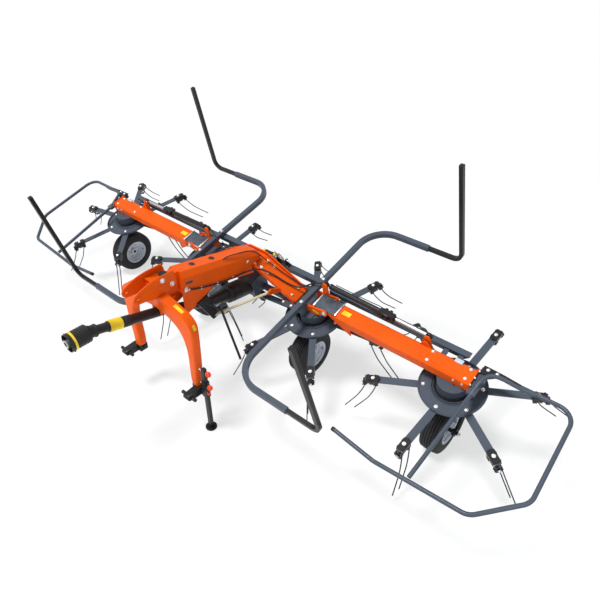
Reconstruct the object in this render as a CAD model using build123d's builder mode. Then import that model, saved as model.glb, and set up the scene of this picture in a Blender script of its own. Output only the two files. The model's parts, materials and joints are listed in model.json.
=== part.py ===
from build123d import *
from math import cos, radians, sin
import os

os.makedirs("parts", exist_ok=True)

# Whole machine: x runs to the right, y to the rear, z up; lengths in millimetres
tilt = 15.0                 # the working frame leans nose-down by this angle
rotor_spacing = 1270.0
wheel_room = 142.0          # disc tops above the crowns of the tyres, on the rotor line
clear = 6.0                 # air kept between pieces that move past each other
run_fit = 0.05              # radial clearance of a running fit
overrun = 20.0              # how far a cut runs past the faces it goes through

# Rotors
rotor_names = ["left_outer", "left_inner", "right_inner", "right_outer"]
rotor_places = [-1.5, -0.5, 0.5, 1.5]
rotor_leads = [9.0, 26.6, 5.6, 26.0]    # angle of the first arm in degrees
rotor_hands = [1, -1, 1, -1]            # turning sense seen from above
arm_count = 6
disc_top = 20.0
disc_radius = 244.0
disc_thick = 6.0
rim_width = 12.0
rim_drop = 12.0
dish_radius = 150.0
dish_width = 16.0
dish_drop = 7.0
hub_radius = 58.0
hub_depth = 84.0
arm_start = 90.0
arm_end = 545.0
arm_width = 56.0
arm_thick = 10.0
clamp_length = 34.0
clamp_width = 46.0
clamp_height = 48.0
saddle_length = 96.0
saddle_thick = 9.0

# Tines
tine_wire = 9.0
coil_radius = 24.0
coil_length = 30.0
wire_sides = 6
seat_gap = 0.3             # air left where one piece is seated on another
clamp_place = 579.0               # middle of the clamp between the two coils, from the rotor axis
tine_bends = [(680.0, 44.0, -165.0), (604.0, 44.0, -185.0)]
tine_tips = [(800.0, 62.0, -310.0), (728.0, 62.0, -330.0)]

# Gear housings on the rotor posts
post_radius = 30.0
post_bottom = -104.0
housing_radius = 112.0
housing_bottom = 30.0
housing_top = 95.0

# Frame plates over the inner rotors
deck_start = 360.0
deck_end = 700.0
deck_front = -100.0
deck_rear = 165.0
deck_thick = 10.0

# Wheels
tyre_radius = 210.0
tyre_width = 162.0
tyre_shoulder = 26.0
tyre_crown = 186.0
rim_radius = 116.0
rim_wall = 8.0
rim_disc_thick = 10.0
rim_hub_radius = 34.0
rim_hub_length = 96.0
axle_radius = 15.0
wheel_line = -50.0          # wheel centres against the rotor line
leg_pipe = 38.0
leg_corner = 38.0
leg_bend_y = -2.0           # where the pipe turns forward to the axle
leg_bend_z = 199.0
leg_boss_radius = 30.0
leg_boss_length = 26.0
leg_foot_thick = 14.0
leg_foot_bite = 8.0         # how far the pipe sinks into its foot plate
leg_lean = 100.0            # how far behind the post the pipe turns down
leg_foot_width = 110.0
leg_sets = [
    ("inner_wheel_legs", [(-0.5, 1), (0.5, -1)]),
    ("outer_wheel_leg_left", [(-1.5, -1)]),
    ("outer_wheel_leg_right", [(1.5, 1)]),
]

# Outer arms
hinge_x = 800.0
hinge_z = 175.0
hinge_pin_radius = 11.0
ear_thick = 12.0
ear_radius = 14.0
cheek_radius = 30.0
cheek_start = 596.0
beam_start = 885.0
beam_end = 2032.0
beam_mid = 40.0
beam_width = 140.0
beam_top = 190.0
beam_depth = 90.0
beam_chamfer = 18.0
root_depth = 160.0
end_plate_thick = 8.0
cover_thick = 4.0
cover_inner_start = 676.0
cover_outer_end = 905.0

# Folding cylinders
ram_lift = 105.0            # inner eye above the hinge
ram_inset = 100.0           # inner eye inboard of the hinge
ram_out_x = 1630.0
ram_out_z = 250.0
ram_y = 144.0
ram_eye_radius = 26.0
ram_eye_width = 20.0
barrel_radius = 22.0
barrel_length = 640.0
barrel_neck = 38.0
neck_pin_radius = 8.0
barrel_bore_depth = 340.0
ram_rod_radius = 12.5
rod_inside = 110.0
block_length = 130.0
block_width = 44.0
block_height = 52.0
lug_width = 60.0

# Channel behind each outer beam
channel_start = 672.0
channel_end = 1925.0
channel_y = 212.0
channel_top = 150.0
channel_width = 50.0
channel_depth = 45.0
channel_wall = 5.0
channel_strut = 40.0

# Inner guard rails of square tube
guard_tube = 42.0
guard_end_tube = 32.0
guard_z = 210.0
guard_front = -887.0
guard_rear = 950.0
guard_inner = 606.0
guard_outer = 1442.0
guard_outer_top = 1400.0
guard_top = 1118.0
guard_sleeve = 1140.0
guard_bend = 235.0
guard_corner = 80.0
crossbar_y = 212.0
crossbar_size = 50.0
crossbar_end = 632.0

# Outer hoops of round tube
hoop_tube = 30.0
hoop_bend = 110.0
hoop_points = [
    (1439.0, -780.0, 110.0),
    (1789.0, -807.0, 82.0),
    (2445.0, -785.0, 120.0),
    (2697.0, -518.0, 130.0),
    (2676.0, 150.0, 160.0),
    (2090.0, 150.0, 160.0),
]
brace_start = (2075.0, -60.0, 150.0)
brace_end = (2040.0, -780.0, 112.0)
bracket_length = 60.0
bracket_height = 26.0
gusset_length = 150.0
gusset_thick = 8.0

# Centre arch and boom
arch_top = 335.0
arch_peak_half = 80.0
arch_foot_x = 460.0
arch_foot_z = 106.0
arch_mid = 35.0
arch_width = 150.0
arch_web = 12.0
arch_flange = 40.0
arch_flange_thick = 12.0
boom_half = 88.0
boom_front = -870.0
boom_profile = [
    (-870.0, 1004.0),
    (-343.0, 872.0),
    (-150.0, 826.0),
    (-60.0, 868.0),
    (-46.0, 950.0),
    (-70.0, 1002.0),
    (-130.0, 1024.0),
    (-846.0, 1172.0),
]
boom_chamfer = 30.0
boom_chamfer_across = 44.0
nose_overlap = 60.0
nose_width = 66.0
wing_thick = 10.0
wing_profile = [
    (-869.0, 1010.0),
    (-560.0, 925.0),
    (-637.0, 892.0),
    (-793.0, 824.0),
    (-852.0, 806.0),
    (-869.0, 830.0),
]

# Centre gearbox and drive under the boom
gearbox_size = 170.0
gearbox_z = 30.0
gearbox_y = -40.0
tunnel_radius = 30.0
tunnel_z = 58.0
drive_ball = 40.0
drive_y = -955.0
drive_z = 872.0
cover_tube_radius = 37.0
joint_ball = 46.0
joint_place = (-600.0, 722.0)
bellows_front_radius = 44.0
bellows_rear_radius = 72.0
bellows_rear = (-110.0, 652.0)

# Bent prop and control rod beside the drive
prop_radius = 10.0
prop_points = [
    (96.0, -690.0, 835.0),
    (108.0, -640.0, 780.0),
    (165.0, -585.0, 715.0),
    (396.0, -634.0, 372.0),
]
prop_bend = 24.0
hanger_thick = 16.0
hanger_profile = [
    (-760.0, 850.0),
    (-660.0, 880.0),
    (-575.0, 640.0),
    (-625.0, 626.0),
]
rod_radius = 11.0
rod_start = (96.0, -600.0, 652.0)
rod_end = (342.0, -216.0, 782.0)
rod_lug_thick = 12.0
rod_lug_profile = [
    (-52.0, 180.0),
    (-52.0, 220.0),
    (-136.0, 290.0),
    (-172.0, 282.0),
    (-168.0, 250.0),
]

# Headstock
pivot_y = -955.0
pivot_low = 1005.0
pivot_high = 1172.0
pivot_radius = 20.0
pivot_tube = 42.0
cheek_plate_x = 62.0
cheek_plate_thick = 10.0
cheek_plate = [
    (-1288.0, 1136.0),
    (-1277.0, 1218.0),
    (-1250.0, 1256.0),
    (-1196.0, 1274.0),
    (-1106.0, 1264.0),
    (-995.0, 1246.0),
    (-912.0, 1222.0),
    (-898.0, 1180.0),
    (-898.0, 1108.0),
    (-990.0, 1062.0),
    (-1124.0, 1058.0),
    (-1201.0, 1063.0),
    (-1259.0, 1082.0),
]
top_hole_y = -1228.0
top_hole_z = 1136.0
top_hole_radius = 12.8
leg_line = -1040.0
leg_depth = 72.0
leg_fillet = 22.0
leg_half = 385.0
foot_inset = 29.0           # middle of a leg's foot from the middle of its link bracket
leg_low = 395.0
leg_outer_line = [          # from the middle of the foot, and above the ground
    (36.0, 395.0),
    (46.0, 620.0),
    (56.0, 860.0),
    (42.0, 1000.0),
    (-26.0, 1096.0),
    (-156.0, 1142.0),
    (-296.0, 1160.0),
]
leg_inner_line = [
    (-38.0, 395.0),
    (-40.0, 600.0),
    (-52.0, 770.0),
    (-98.0, 866.0),
    (-196.0, 924.0),
    (-296.0, 950.0),
]
bracket_front = -1195.0
bracket_back = -1000.0
bracket_low = 330.0
bracket_top = 395.0
bracket_wide = 64.0
link_pin_y = -1161.0
link_pin_z = 363.0
link_pin_radius = 14.0
link_pin_reach = 45.0

# Parking stand beside the right bracket
stand_y = -1062.0
stand_tube = 30.0
stand_top = 620.0
stand_foot_radius = 45.0
stand_foot_thick = 10.0
socket_wall = 6.0
socket_length = 150.0
socket_low = 345.0
stand_spacer = 34.0
spacer_height = 40.0

# Drive shaft in front of the headstock
shaft_front = -1761.0
shaft_joint_y = -1600.0
shaft_joint_z = 1046.0
shaft_end = -1010.0
shaft_tube_radius = 38.0
bell_radius = 66.0
bell_length = 150.0
bell_wall = 5.0
collar_radius = 46.0
collar_length = 60.0
cuff_radius = 44.0
cuff_length = 44.0
cuff_share = 0.55           # how far along the tube the yellow cuff sits
yoke_radius = 30.0
yoke_bore = 17.5
yoke_length = 90.0
yoke_bore_depth = 60.0
yoke_shaft_radius = 14.0
yoke_shaft_length = 90.0

# Places worked out from the sizes above
lean = radians(tilt)
rear_reach = (guard_rear + guard_tube / 2) * cos(lean) - (guard_z - guard_tube / 2) * sin(lean)
rotor_line = (-shaft_front - rear_reach) / 2
disc_height = tyre_radius * 2 + wheel_room
leaning = Plane(origin=(0, rotor_line, disc_height), x_dir=(1, 0, 0), z_dir=(0, -sin(lean), cos(lean)))
arm_low = disc_top - disc_thick - arm_thick * 2
coil_drop = coil_radius + seat_gap - arm_low
coil_step = (clamp_length + coil_length) / 2 + seat_gap
tine_coils = [clamp_place + coil_step, clamp_place - coil_step]
beam_front = beam_mid - beam_width / 2
beam_rear = beam_mid + beam_width / 2
deck_top = housing_top + deck_thick
crossbar_top = guard_z - guard_tube / 2
cheek_places = [beam_front - clear - ear_thick, beam_rear + clear]
ear_places = [beam_front + clear + ear_thick / 2, beam_rear - clear - ear_thick / 2]
leg_foot = leg_half - foot_inset
leg_outer = [(leg_foot + x, z) for x, z in leg_outer_line]
leg_inner = [(leg_foot + x, z) for x, z in leg_inner_line]
socket_outer = stand_tube / 2 + socket_wall + run_fit
stand_x = leg_half + bracket_wide / 2 + stand_spacer + socket_outer


def spot(x, y, z, normal=(0, 0, 1), across=(1, 0, 0)):
    """Plane at a point of the leaning frame."""
    return Plane(leaning.location * Plane(origin=(x, y, z), x_dir=across, z_dir=normal).location)


def level(x, y, z, normal=(0, 0, 1), across=(1, 0, 0)):
    """Plane at a point of the level frame, measured from the rotor line on the ground."""
    return Plane(origin=(x, rotor_line + y, z), x_dir=across, z_dir=normal)


def slope(y):
    """Height of the drive shaft's middle line at a place in front of the pivot."""
    return shaft_joint_z + (drive_z - shaft_joint_z) * (y - shaft_joint_y) / (drive_y - shaft_joint_y)


def lift(point):
    """World place of a point of the leaning frame."""
    return leaning.from_local_coords(Vector(*point))


def stand_at(point):
    """World place of a point of the level frame."""
    return Vector(point[0], rotor_line + point[1], point[2])


def save(builder, name):
    """Write one finished piece to its own file."""
    builder.part.label = name
    export_step(builder.part, f"parts/{name}.step")


# Rotors: a dished disc on a hub, with six flat arms and their tine clamps
disc_low = disc_top - disc_thick
for name, place, lead, hand in zip(rotor_names, rotor_places, rotor_leads, rotor_hands):
    centre = place * rotor_spacing
    with BuildPart() as rotor:
        with BuildSketch(spot(centre, 0, 0, normal=(0, -1, 0))):
            with BuildLine():
                Polyline(
                    (post_radius + run_fit, -hub_depth),
                    (hub_radius, -hub_depth),
                    (hub_radius, disc_low - arm_thick),
                    (disc_radius - rim_width, disc_low - arm_thick),
                    (disc_radius - rim_width, disc_top - rim_drop),
                    (disc_radius, disc_top - rim_drop),
                    (disc_radius, disc_top),
                    (disc_radius - rim_width, disc_top),
                    (disc_radius - rim_width, disc_low),
                    (dish_radius, disc_low),
                    (dish_radius, disc_top),
                    (dish_radius - dish_width, disc_top),
                    (dish_radius - dish_width, disc_top - dish_drop),
                    (post_radius + run_fit, disc_top - dish_drop),
                    close=True,
                )
            make_face()
        revolve(axis=Axis(lift((centre, 0, 0)), leaning.z_dir))
        with Locations(spot(centre, 0, arm_low + arm_thick / 2)):
            with PolarLocations((arm_start + arm_end) / 2, arm_count, start_angle=lead):
                Box(arm_end - arm_start, arm_width, arm_thick)
        with Locations(spot(centre, 0, arm_low + arm_thick + saddle_thick / 2)):
            with PolarLocations(clamp_place, arm_count, start_angle=lead):
                Box(saddle_length, clamp_width, saddle_thick)
        with Locations(spot(centre, 0, arm_low + arm_thick - clamp_height / 2)):
            with PolarLocations(clamp_place, arm_count, start_angle=lead):
                Box(clamp_length, clamp_width, clamp_height)
    save(rotor, f"rotor_{name}")

    # Tines: two coils on each arm, each with a wire that hangs down, trails and flares out
    with BuildPart() as tine_pair:
        for coil, bend, tip in zip(tine_coils, tine_bends, tine_tips):
            with BuildLine() as wire:
                Polyline(
                    (coil, -hand * (coil_radius - tine_wire / 2), -coil_drop),
                    (bend[0], -hand * bend[1], bend[2]),
                    (tip[0], -hand * tip[1], tip[2]),
                )
            with BuildSketch(Plane(origin=wire.line @ 0, z_dir=wire.line % 0)):
                RegularPolygon(tine_wire / 2, wire_sides)
            sweep(path=wire.line, transition=Transition.RIGHT)
            with Locations(Plane(origin=(coil, 0, -coil_drop), z_dir=(1, 0, 0))):
                Cylinder(coil_radius, coil_length)
    with BuildPart() as tines:
        with Locations(spot(centre, 0, 0)):
            with PolarLocations(0, arm_count, start_angle=lead):
                add(tine_pair.part)
    save(tines, f"tines_{name}")

# Wheels: a tyre and a rim turning on an axle held by the leg beside them
for name, place in zip(rotor_names, rotor_places):
    centre = place * rotor_spacing
    wheel_axis = Axis((centre, rotor_line + wheel_line, tyre_radius), (1, 0, 0))
    with BuildPart() as tyre:
        with BuildSketch(level(centre, wheel_line, tyre_radius, normal=(0, -1, 0))):
            with BuildLine():
                Polyline(
                    (-tyre_width / 2 + rim_wall, rim_radius),
                    (-tyre_width / 2, rim_radius + tyre_shoulder),
                    (-tyre_width / 2, tyre_crown),
                    (-tyre_width / 2 + tyre_shoulder, tyre_radius),
                    (tyre_width / 2 - tyre_shoulder, tyre_radius),
                    (tyre_width / 2, tyre_crown),
                    (tyre_width / 2, rim_radius + tyre_shoulder),
                    (tyre_width / 2 - rim_wall, rim_radius),
                    close=True,
                )
            make_face()
        revolve(axis=wheel_axis)
    save(tyre, f"tyre_{name}")

    with BuildPart() as rim:
        with BuildSketch(level(centre, wheel_line, tyre_radius, normal=(0, -1, 0))):
            with BuildLine():
                Polyline(
                    (-tyre_width / 2 + rim_wall, rim_radius - run_fit),
                    (tyre_width / 2 - rim_wall, rim_radius - run_fit),
                    (tyre_width / 2 - rim_wall, rim_radius - rim_wall),
                    (rim_disc_thick / 2, rim_radius - rim_wall),
                    (rim_disc_thick / 2, rim_hub_radius),
                    (rim_hub_length / 2, rim_hub_radius),
                    (rim_hub_length / 2, axle_radius + run_fit),
                    (-rim_hub_length / 2, axle_radius + run_fit),
                    (-rim_hub_length / 2, rim_hub_radius),
                    (-rim_disc_thick / 2, rim_hub_radius),
                    (-rim_disc_thick / 2, rim_radius - rim_wall),
                    (-tyre_width / 2 + rim_wall, rim_radius - rim_wall),
                    close=True,
                )
            make_face()
        revolve(axis=wheel_axis)
    save(rim, f"rim_{name}")

# Wheel legs: a foot plate under the rotor post, a bent pipe beside the tyre, and the axle
foot_mid = post_bottom - leg_foot_thick / 2
pipe_height = post_bottom - leg_foot_thick - leg_pipe / 2 + leg_foot_bite
for name, stations in leg_sets:
    with BuildPart() as legs:
        for place, side in stations:
            centre = place * rotor_spacing
            pipe_x = centre + side * (tyre_width / 2 + clear + leg_pipe / 2)
            with Locations(spot(centre, 0, foot_mid)):
                Cylinder(leg_foot_width / 2, leg_foot_thick)
            with BuildLine() as pipe:
                FilletPolyline(
                    lift((centre, 0, pipe_height)),
                    lift((pipe_x, leg_lean, pipe_height)),
                    stand_at((pipe_x, leg_bend_y, leg_bend_z)),
                    stand_at((pipe_x, wheel_line, tyre_radius)),
                    radius=leg_corner,
                )
            with BuildSketch(Plane(origin=pipe.line @ 0, z_dir=pipe.line % 0)):
                Circle(leg_pipe / 2)
            sweep(path=pipe.line)
            with Locations(level(pipe_x, wheel_line, tyre_radius, normal=(1, 0, 0), across=(0, 1, 0))):
                Cylinder(leg_boss_radius, leg_boss_length)
            axle_length = tyre_width / 2 + clear * 2 + leg_pipe + rim_hub_length / 2
            axle_mid = centre + side * (axle_length - rim_hub_length) / 2
            with Locations(level(axle_mid, wheel_line, tyre_radius, normal=(1, 0, 0), across=(0, 1, 0))):
                Cylinder(axle_radius, axle_length)
    save(legs, name)

# Inner gear housings with their posts and decks
deck_mid_x = (deck_start + deck_end) / 2
deck_mid_y = (deck_front + deck_rear) / 2
with BuildPart() as inner_housings:
    for side in (-1, 1):
        centre = side * rotor_spacing / 2
        with Locations(spot(centre, 0, (housing_top + housing_bottom) / 2)):
            Cylinder(housing_radius, housing_top - housing_bottom)
        with Locations(spot(centre, 0, (housing_bottom + post_bottom) / 2)):
            Cylinder(post_radius, housing_bottom - post_bottom)
        with Locations(spot(side * deck_mid_x, deck_mid_y, housing_top + deck_thick / 2)):
            Box(deck_end - deck_start, deck_rear - deck_front, deck_thick)
save(inner_housings, "inner_housings")

# Hinge brackets: two cheeks on each deck, the rear one rising to the ram's inner eye
ram_in_x = hinge_x - ram_inset
ram_in_z = hinge_z + ram_lift
with BuildPart() as hinge_brackets:
    for side in (-1, 1):
        for rear, cheek_y in enumerate(cheek_places):
            with BuildSketch(spot(0, cheek_y + ear_thick / 2, 0, normal=(0, -side, 0), across=(side, 0, 0))):
                with BuildLine():
                    Polyline(
                        (cheek_start, deck_top),
                        (deck_end, deck_top),
                        (hinge_x, hinge_z - cheek_radius),
                        (hinge_x, hinge_z + cheek_radius),
                        (cheek_start, hinge_z),
                        close=True,
                    )
                make_face()
                with Locations((hinge_x, hinge_z)):
                    Circle(cheek_radius)
                if rear:
                    with BuildLine():
                        Polyline(
                            (ram_in_x - lug_width / 2, hinge_z - cheek_radius),
                            (ram_in_x + lug_width / 2, hinge_z - cheek_radius),
                            (ram_in_x + ram_eye_radius, ram_in_z),
                            (ram_in_x - ram_eye_radius, ram_in_z),
                            close=True,
                        )
                    make_face()
                    with Locations((ram_in_x, ram_in_z)):
                        Circle(ram_eye_radius)
            extrude(amount=ear_thick / 2, both=True)
        cross = cheek_places[1] - cheek_places[0] - ear_thick
        wall_x = cover_inner_start + ear_thick / 2
        with Locations(spot(side * wall_x, beam_mid, (deck_top + beam_top) / 2)):
            Box(ear_thick, cross, beam_top - deck_top)
        pin_length = cheek_places[1] - cheek_places[0] + ear_thick * 2
        with Locations(spot(side * hinge_x, beam_mid, hinge_z, normal=(0, 1, 0))):
            Cylinder(hinge_pin_radius, pin_length)
        ram_pin_length = ram_eye_width + clear + ear_thick / 2
        ram_pin_y = cheek_places[1] + ear_thick + ram_pin_length / 2
        with Locations(spot(side * ram_in_x, ram_pin_y, ram_in_z, normal=(0, 1, 0))):
            Cylinder(hinge_pin_radius, ram_pin_length)
save(hinge_brackets, "hinge_brackets")

cover_width = beam_width - clear
cover_inner_end = hinge_x - (beam_top - hinge_z) - cover_thick - clear * 2
for side, name in ((-1, "left"), (1, "right")):
    with BuildPart() as inner_cover:
        cover_mid = side * (cover_inner_start + cover_inner_end) / 2
        with Locations(spot(cover_mid, beam_mid, beam_top + cover_thick / 2)):
            Box(cover_inner_end - cover_inner_start, cover_width, cover_thick)
    save(inner_cover, f"inner_cover_{name}")

# Centre arch: two sloping channels meeting under the boom
arch_toe = arch_foot_x + arch_web * 2
arch_shoulder = arch_peak_half + arch_flange / 2
arch_run = [(arch_toe, arch_foot_z), (arch_foot_x, arch_foot_z), (arch_peak_half, arch_top)]
arch_web_run = [(arch_peak_half + arch_web / 2, arch_top + arch_web), (arch_toe, arch_foot_z + arch_web)]
arch_flange_run = [
    (arch_shoulder, arch_top + arch_flange),
    (arch_toe, arch_foot_z + arch_flange),
]
with BuildPart() as centre_arch:
    for profile_run, place_y, thick in (
        (arch_web_run, arch_mid, arch_width),
        (arch_flange_run, arch_mid - (arch_width + arch_flange_thick) / 2, arch_flange_thick),
        (arch_flange_run, arch_mid + (arch_width + arch_flange_thick) / 2, arch_flange_thick),
    ):
        half = arch_run + [(-x, z) for x, z in reversed(arch_run)]
        other = [(-x, z) for x, z in reversed(profile_run)] + profile_run
        with BuildSketch(spot(0, place_y, 0, normal=(0, -1, 0))):
            with BuildLine():
                Polyline(*half, *other, close=True)
            make_face()
        extrude(amount=thick / 2, both=True)
    with BuildSketch(spot(rod_end[0], 0, 0, normal=(1, 0, 0), across=(0, 1, 0))):
        with BuildLine():
            Polyline(*rod_lug_profile, close=True)
        make_face()
    extrude(amount=rod_lug_thick / 2, both=True)
save(centre_arch, "centre_arch")

# Crossbar behind the arch, with the feet and seats that carry the guard rails
with BuildPart() as crossbar:
    with Locations(spot(0, crossbar_y, crossbar_top - crossbar_size / 2)):
        Box(crossbar_end * 2, crossbar_size, crossbar_size)
    for side in (-1, 1):
        foot_x = side * (deck_start + crossbar_end) / 2
        foot_height = crossbar_top - crossbar_size - housing_top
        with Locations(spot(foot_x, crossbar_y, housing_top + foot_height / 2)):
            Box(crossbar_size, crossbar_size, foot_height)
        with Locations(spot(foot_x, (deck_rear + crossbar_y) / 2, housing_top + deck_thick / 2)):
            Box(crossbar_size, crossbar_y - deck_rear, deck_thick)
        seat_y = deck_front + crossbar_size / 2
        with Locations(spot(side * guard_inner, seat_y, (deck_top + crossbar_top) / 2)):
            Box(crossbar_size, crossbar_size, crossbar_top - deck_top)
save(crossbar, "crossbar")

# Boom: a tapering box with a shallow ridge, wings down to the drive, and a nose tube round the pivot
pivot_mid = (pivot_low + pivot_high) / 2
pivot_gap = pivot_high - pivot_low - clear
with BuildPart() as boom:
    with BuildSketch(level(0, 0, 0, normal=(1, 0, 0), across=(0, 1, 0))):
        with BuildLine():
            Polyline(*boom_profile, close=True)
        make_face()
    extrude(amount=boom_half, both=True)
    along = boom.edges().filter_by(lambda edge: edge.length > -boom_front / 2)
    chamfer(along.group_by(Axis.Z)[-1], length=boom_chamfer, length2=boom_chamfer_across)
    for side in (-1, 1):
        with BuildSketch(level(side * (boom_half - wing_thick / 2), 0, 0, normal=(1, 0, 0), across=(0, 1, 0))):
            with BuildLine():
                Polyline(*wing_profile, close=True)
            make_face()
        extrude(amount=wing_thick / 2, both=True)
    nose_end = boom_front + nose_overlap
    with Locations(level(0, (nose_end + pivot_y) / 2, pivot_mid)):
        Box(nose_width, nose_end - pivot_y, pivot_gap)
    with Locations(level(0, pivot_y, pivot_mid)):
        Cylinder(pivot_tube, pivot_gap)
        Cylinder(pivot_radius + run_fit, pivot_gap + overrun, mode=Mode.SUBTRACT)
    saddle = arch_top + arch_flange
    with Locations(spot(0, arch_mid, saddle / 2)):
        Box(boom_half * 2 + overrun * 2, arch_width + arch_flange_thick * 4, saddle, mode=Mode.SUBTRACT)
save(boom, "boom")

# Gearbox under the arch and the covered joint that leads the drive to it
with BuildPart() as gearbox:
    with Locations(spot(0, gearbox_y, gearbox_z + gearbox_size / 2)):
        Box(gearbox_size, gearbox_size, gearbox_size)
    for side in (-1, 1):
        tunnel = rotor_spacing / 2 - housing_radius - gearbox_size / 2
        tunnel_mid = side * (gearbox_size + tunnel) / 2
        with Locations(spot(tunnel_mid, 0, tunnel_z, normal=(1, 0, 0), across=(0, 1, 0))):
            Cylinder(tunnel_radius, tunnel)
save(gearbox, "centre_gearbox")

cover_run = Vector(0, joint_place[0] - drive_y, joint_place[1] - drive_z)
bellows_run = Vector(0, bellows_rear[0] - joint_place[0], bellows_rear[1] - joint_place[1])
cover_mid_y = (joint_place[0] + drive_y) / 2
cover_mid_z = (joint_place[1] + drive_z) / 2
bellows_mid_y = (joint_place[0] + bellows_rear[0]) / 2
bellows_mid_z = (joint_place[1] + bellows_rear[1]) / 2
with BuildPart() as bellows:
    with Locations(level(0, cover_mid_y, cover_mid_z, normal=tuple(cover_run))):
        Cylinder(cover_tube_radius, cover_run.length)
    with Locations(level(0, joint_place[0], joint_place[1])):
        Sphere(joint_ball)
    with Locations(level(0, bellows_mid_y, bellows_mid_z, normal=tuple(bellows_run))):
        Cone(bellows_front_radius, bellows_rear_radius, bellows_run.length)
    with Locations(level(0, drive_y, drive_z)):
        Sphere(drive_ball)
    for behind in (gearbox_y, gearbox_y + gearbox_size):
        with Locations(spot(0, behind, gearbox_z + gearbox_size / 2)):
            Box(gearbox_size * 2, gearbox_size, gearbox_size * 2, mode=Mode.SUBTRACT)
save(bellows, "drive_bellows")

# Bent prop, hung from a plate on the boom's right wing, and the control rod from there to the arch
hanger_face = boom_half + hanger_thick
with BuildPart() as prop:
    with BuildLine() as run:
        FilletPolyline(*[stand_at(point) for point in prop_points], radius=prop_bend)
    with BuildSketch(Plane(origin=run.line @ 0, z_dir=run.line % 0)):
        Circle(prop_radius)
    sweep(path=run.line)
    with BuildSketch(level(boom_half + hanger_thick / 2, 0, 0, normal=(1, 0, 0), across=(0, 1, 0))):
        with BuildLine():
            Polyline(*hanger_profile, close=True)
        make_face()
    extrude(amount=hanger_thick / 2, both=True)
save(prop, "prop_tube")

rod_span = rod_end[0] - rod_lug_thick / 2 - hanger_face
with BuildPart() as control_rod:
    rod_run = stand_at(rod_end) - stand_at(rod_start)
    with Locations(Plane(origin=(stand_at(rod_end) + stand_at(rod_start)) / 2, z_dir=rod_run)):
        Cylinder(rod_radius, rod_run.length)
    with Locations((hanger_face + rod_span / 2, rotor_line, disc_height)):
        Box(rod_span, rotor_spacing, rotor_spacing, mode=Mode.INTERSECT)
save(control_rod, "control_rod")

# Guard rails: a square tube each side, with smaller end tubes that turn up
for side, name in ((-1, "left"), (1, "right")):
    with BuildPart() as rail:
        with BuildLine() as run:
            FilletPolyline(
                lift((side * guard_sleeve, guard_front, guard_z)),
                lift((side * guard_inner, guard_front, guard_z)),
                lift((side * guard_inner, guard_rear, guard_z)),
                lift((side * guard_sleeve, guard_rear, guard_z)),
                radius=guard_bend,
            )
        with BuildSketch(Plane(origin=run.line @ 0, z_dir=run.line % 0, x_dir=leaning.z_dir)):
            Rectangle(guard_tube, guard_tube)
        sweep(path=run.line)
    save(rail, f"guard_rail_{name}")

    with BuildPart() as rail_ends:
        for guard_y in (guard_front, guard_rear):
            with BuildLine() as run:
                FilletPolyline(
                    lift((side * guard_sleeve, guard_y, guard_z)),
                    lift((side * guard_outer, guard_y, guard_z)),
                    lift((side * guard_outer_top, guard_y, guard_top)),
                    radius=guard_corner,
                )
            with BuildSketch(Plane(origin=run.line @ 0, z_dir=run.line % 0, x_dir=leaning.z_dir)):
                Rectangle(guard_end_tube, guard_end_tube)
            sweep(path=run.line)
    save(rail_ends, f"guard_ends_{name}")

# Headstock: cheeks and bridges round the pivot, the arched legs, and a cradle for the shaft guard
tube_run = Vector(0, shaft_end - shaft_joint_y, slope(shaft_end) - shaft_joint_z)
tube_mid_y = (shaft_end + shaft_joint_y) / 2
tube_middle = level(0, tube_mid_y, (slope(shaft_end) + shaft_joint_z) / 2, normal=tuple(tube_run))
cheek_mid_x = cheek_plate_x + cheek_plate_thick / 2
with BuildPart() as headstock:
    with BuildSketch(level(0, leg_line, 0, normal=(0, -1, 0))):
        with BuildLine():
            Spline(*leg_outer, *[(-x, z) for x, z in reversed(leg_outer)])
            Polyline((-leg_outer[0][0], leg_low), (-leg_inner[0][0], leg_low))
            Spline(*[(-x, z) for x, z in leg_inner], *reversed(leg_inner))
            Polyline((leg_inner[0][0], leg_low), (leg_outer[0][0], leg_low))
        make_face()
    extrude(amount=leg_depth / 2, both=True)
    corners = headstock.edges().filter_by(lambda edge: edge.length > leg_half)
    fillet(corners, radius=leg_fillet)
    for side in (-1, 1):
        with BuildSketch(level(side * cheek_mid_x, 0, 0, normal=(1, 0, 0), across=(0, 1, 0))):
            with BuildLine():
                Polyline(*cheek_plate, close=True)
            make_face()
        extrude(amount=cheek_plate_thick / 2, both=True)
    bridge_front = leg_line - leg_depth / 2
    bridge_rear = pivot_y + pivot_radius * 2
    bridge_mid = (bridge_front + bridge_rear) / 2
    for bridge_z in (pivot_low - ear_thick / 2, pivot_high + ear_thick / 2):
        with Locations(level(0, bridge_mid, bridge_z)):
            Box(cheek_plate_x * 2, bridge_rear - bridge_front, ear_thick)
    with Locations(level(0, pivot_y, pivot_mid)):
        Cylinder(pivot_tube + clear, pivot_high - pivot_low, mode=Mode.SUBTRACT)
        Cylinder(pivot_radius, pivot_high - pivot_low + ear_thick)
    with Locations(level(0, top_hole_y, top_hole_z, normal=(1, 0, 0), across=(0, 1, 0))):
        Cylinder(top_hole_radius, cheek_plate_x * 2 + overrun * 2, mode=Mode.SUBTRACT)
    cradle_low = slope(leg_line)
    cradle_high = leg_inner[-1][1] + clear
    with Locations(level(0, leg_line, (cradle_low + cradle_high) / 2)):
        Box(shaft_tube_radius * 2 + ear_thick * 2, leg_depth / 2, cradle_high - cradle_low)
    with Locations(tube_middle):
        Cylinder(shaft_tube_radius + seat_gap, tube_run.length, mode=Mode.SUBTRACT)
save(headstock, "headstock")

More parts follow.
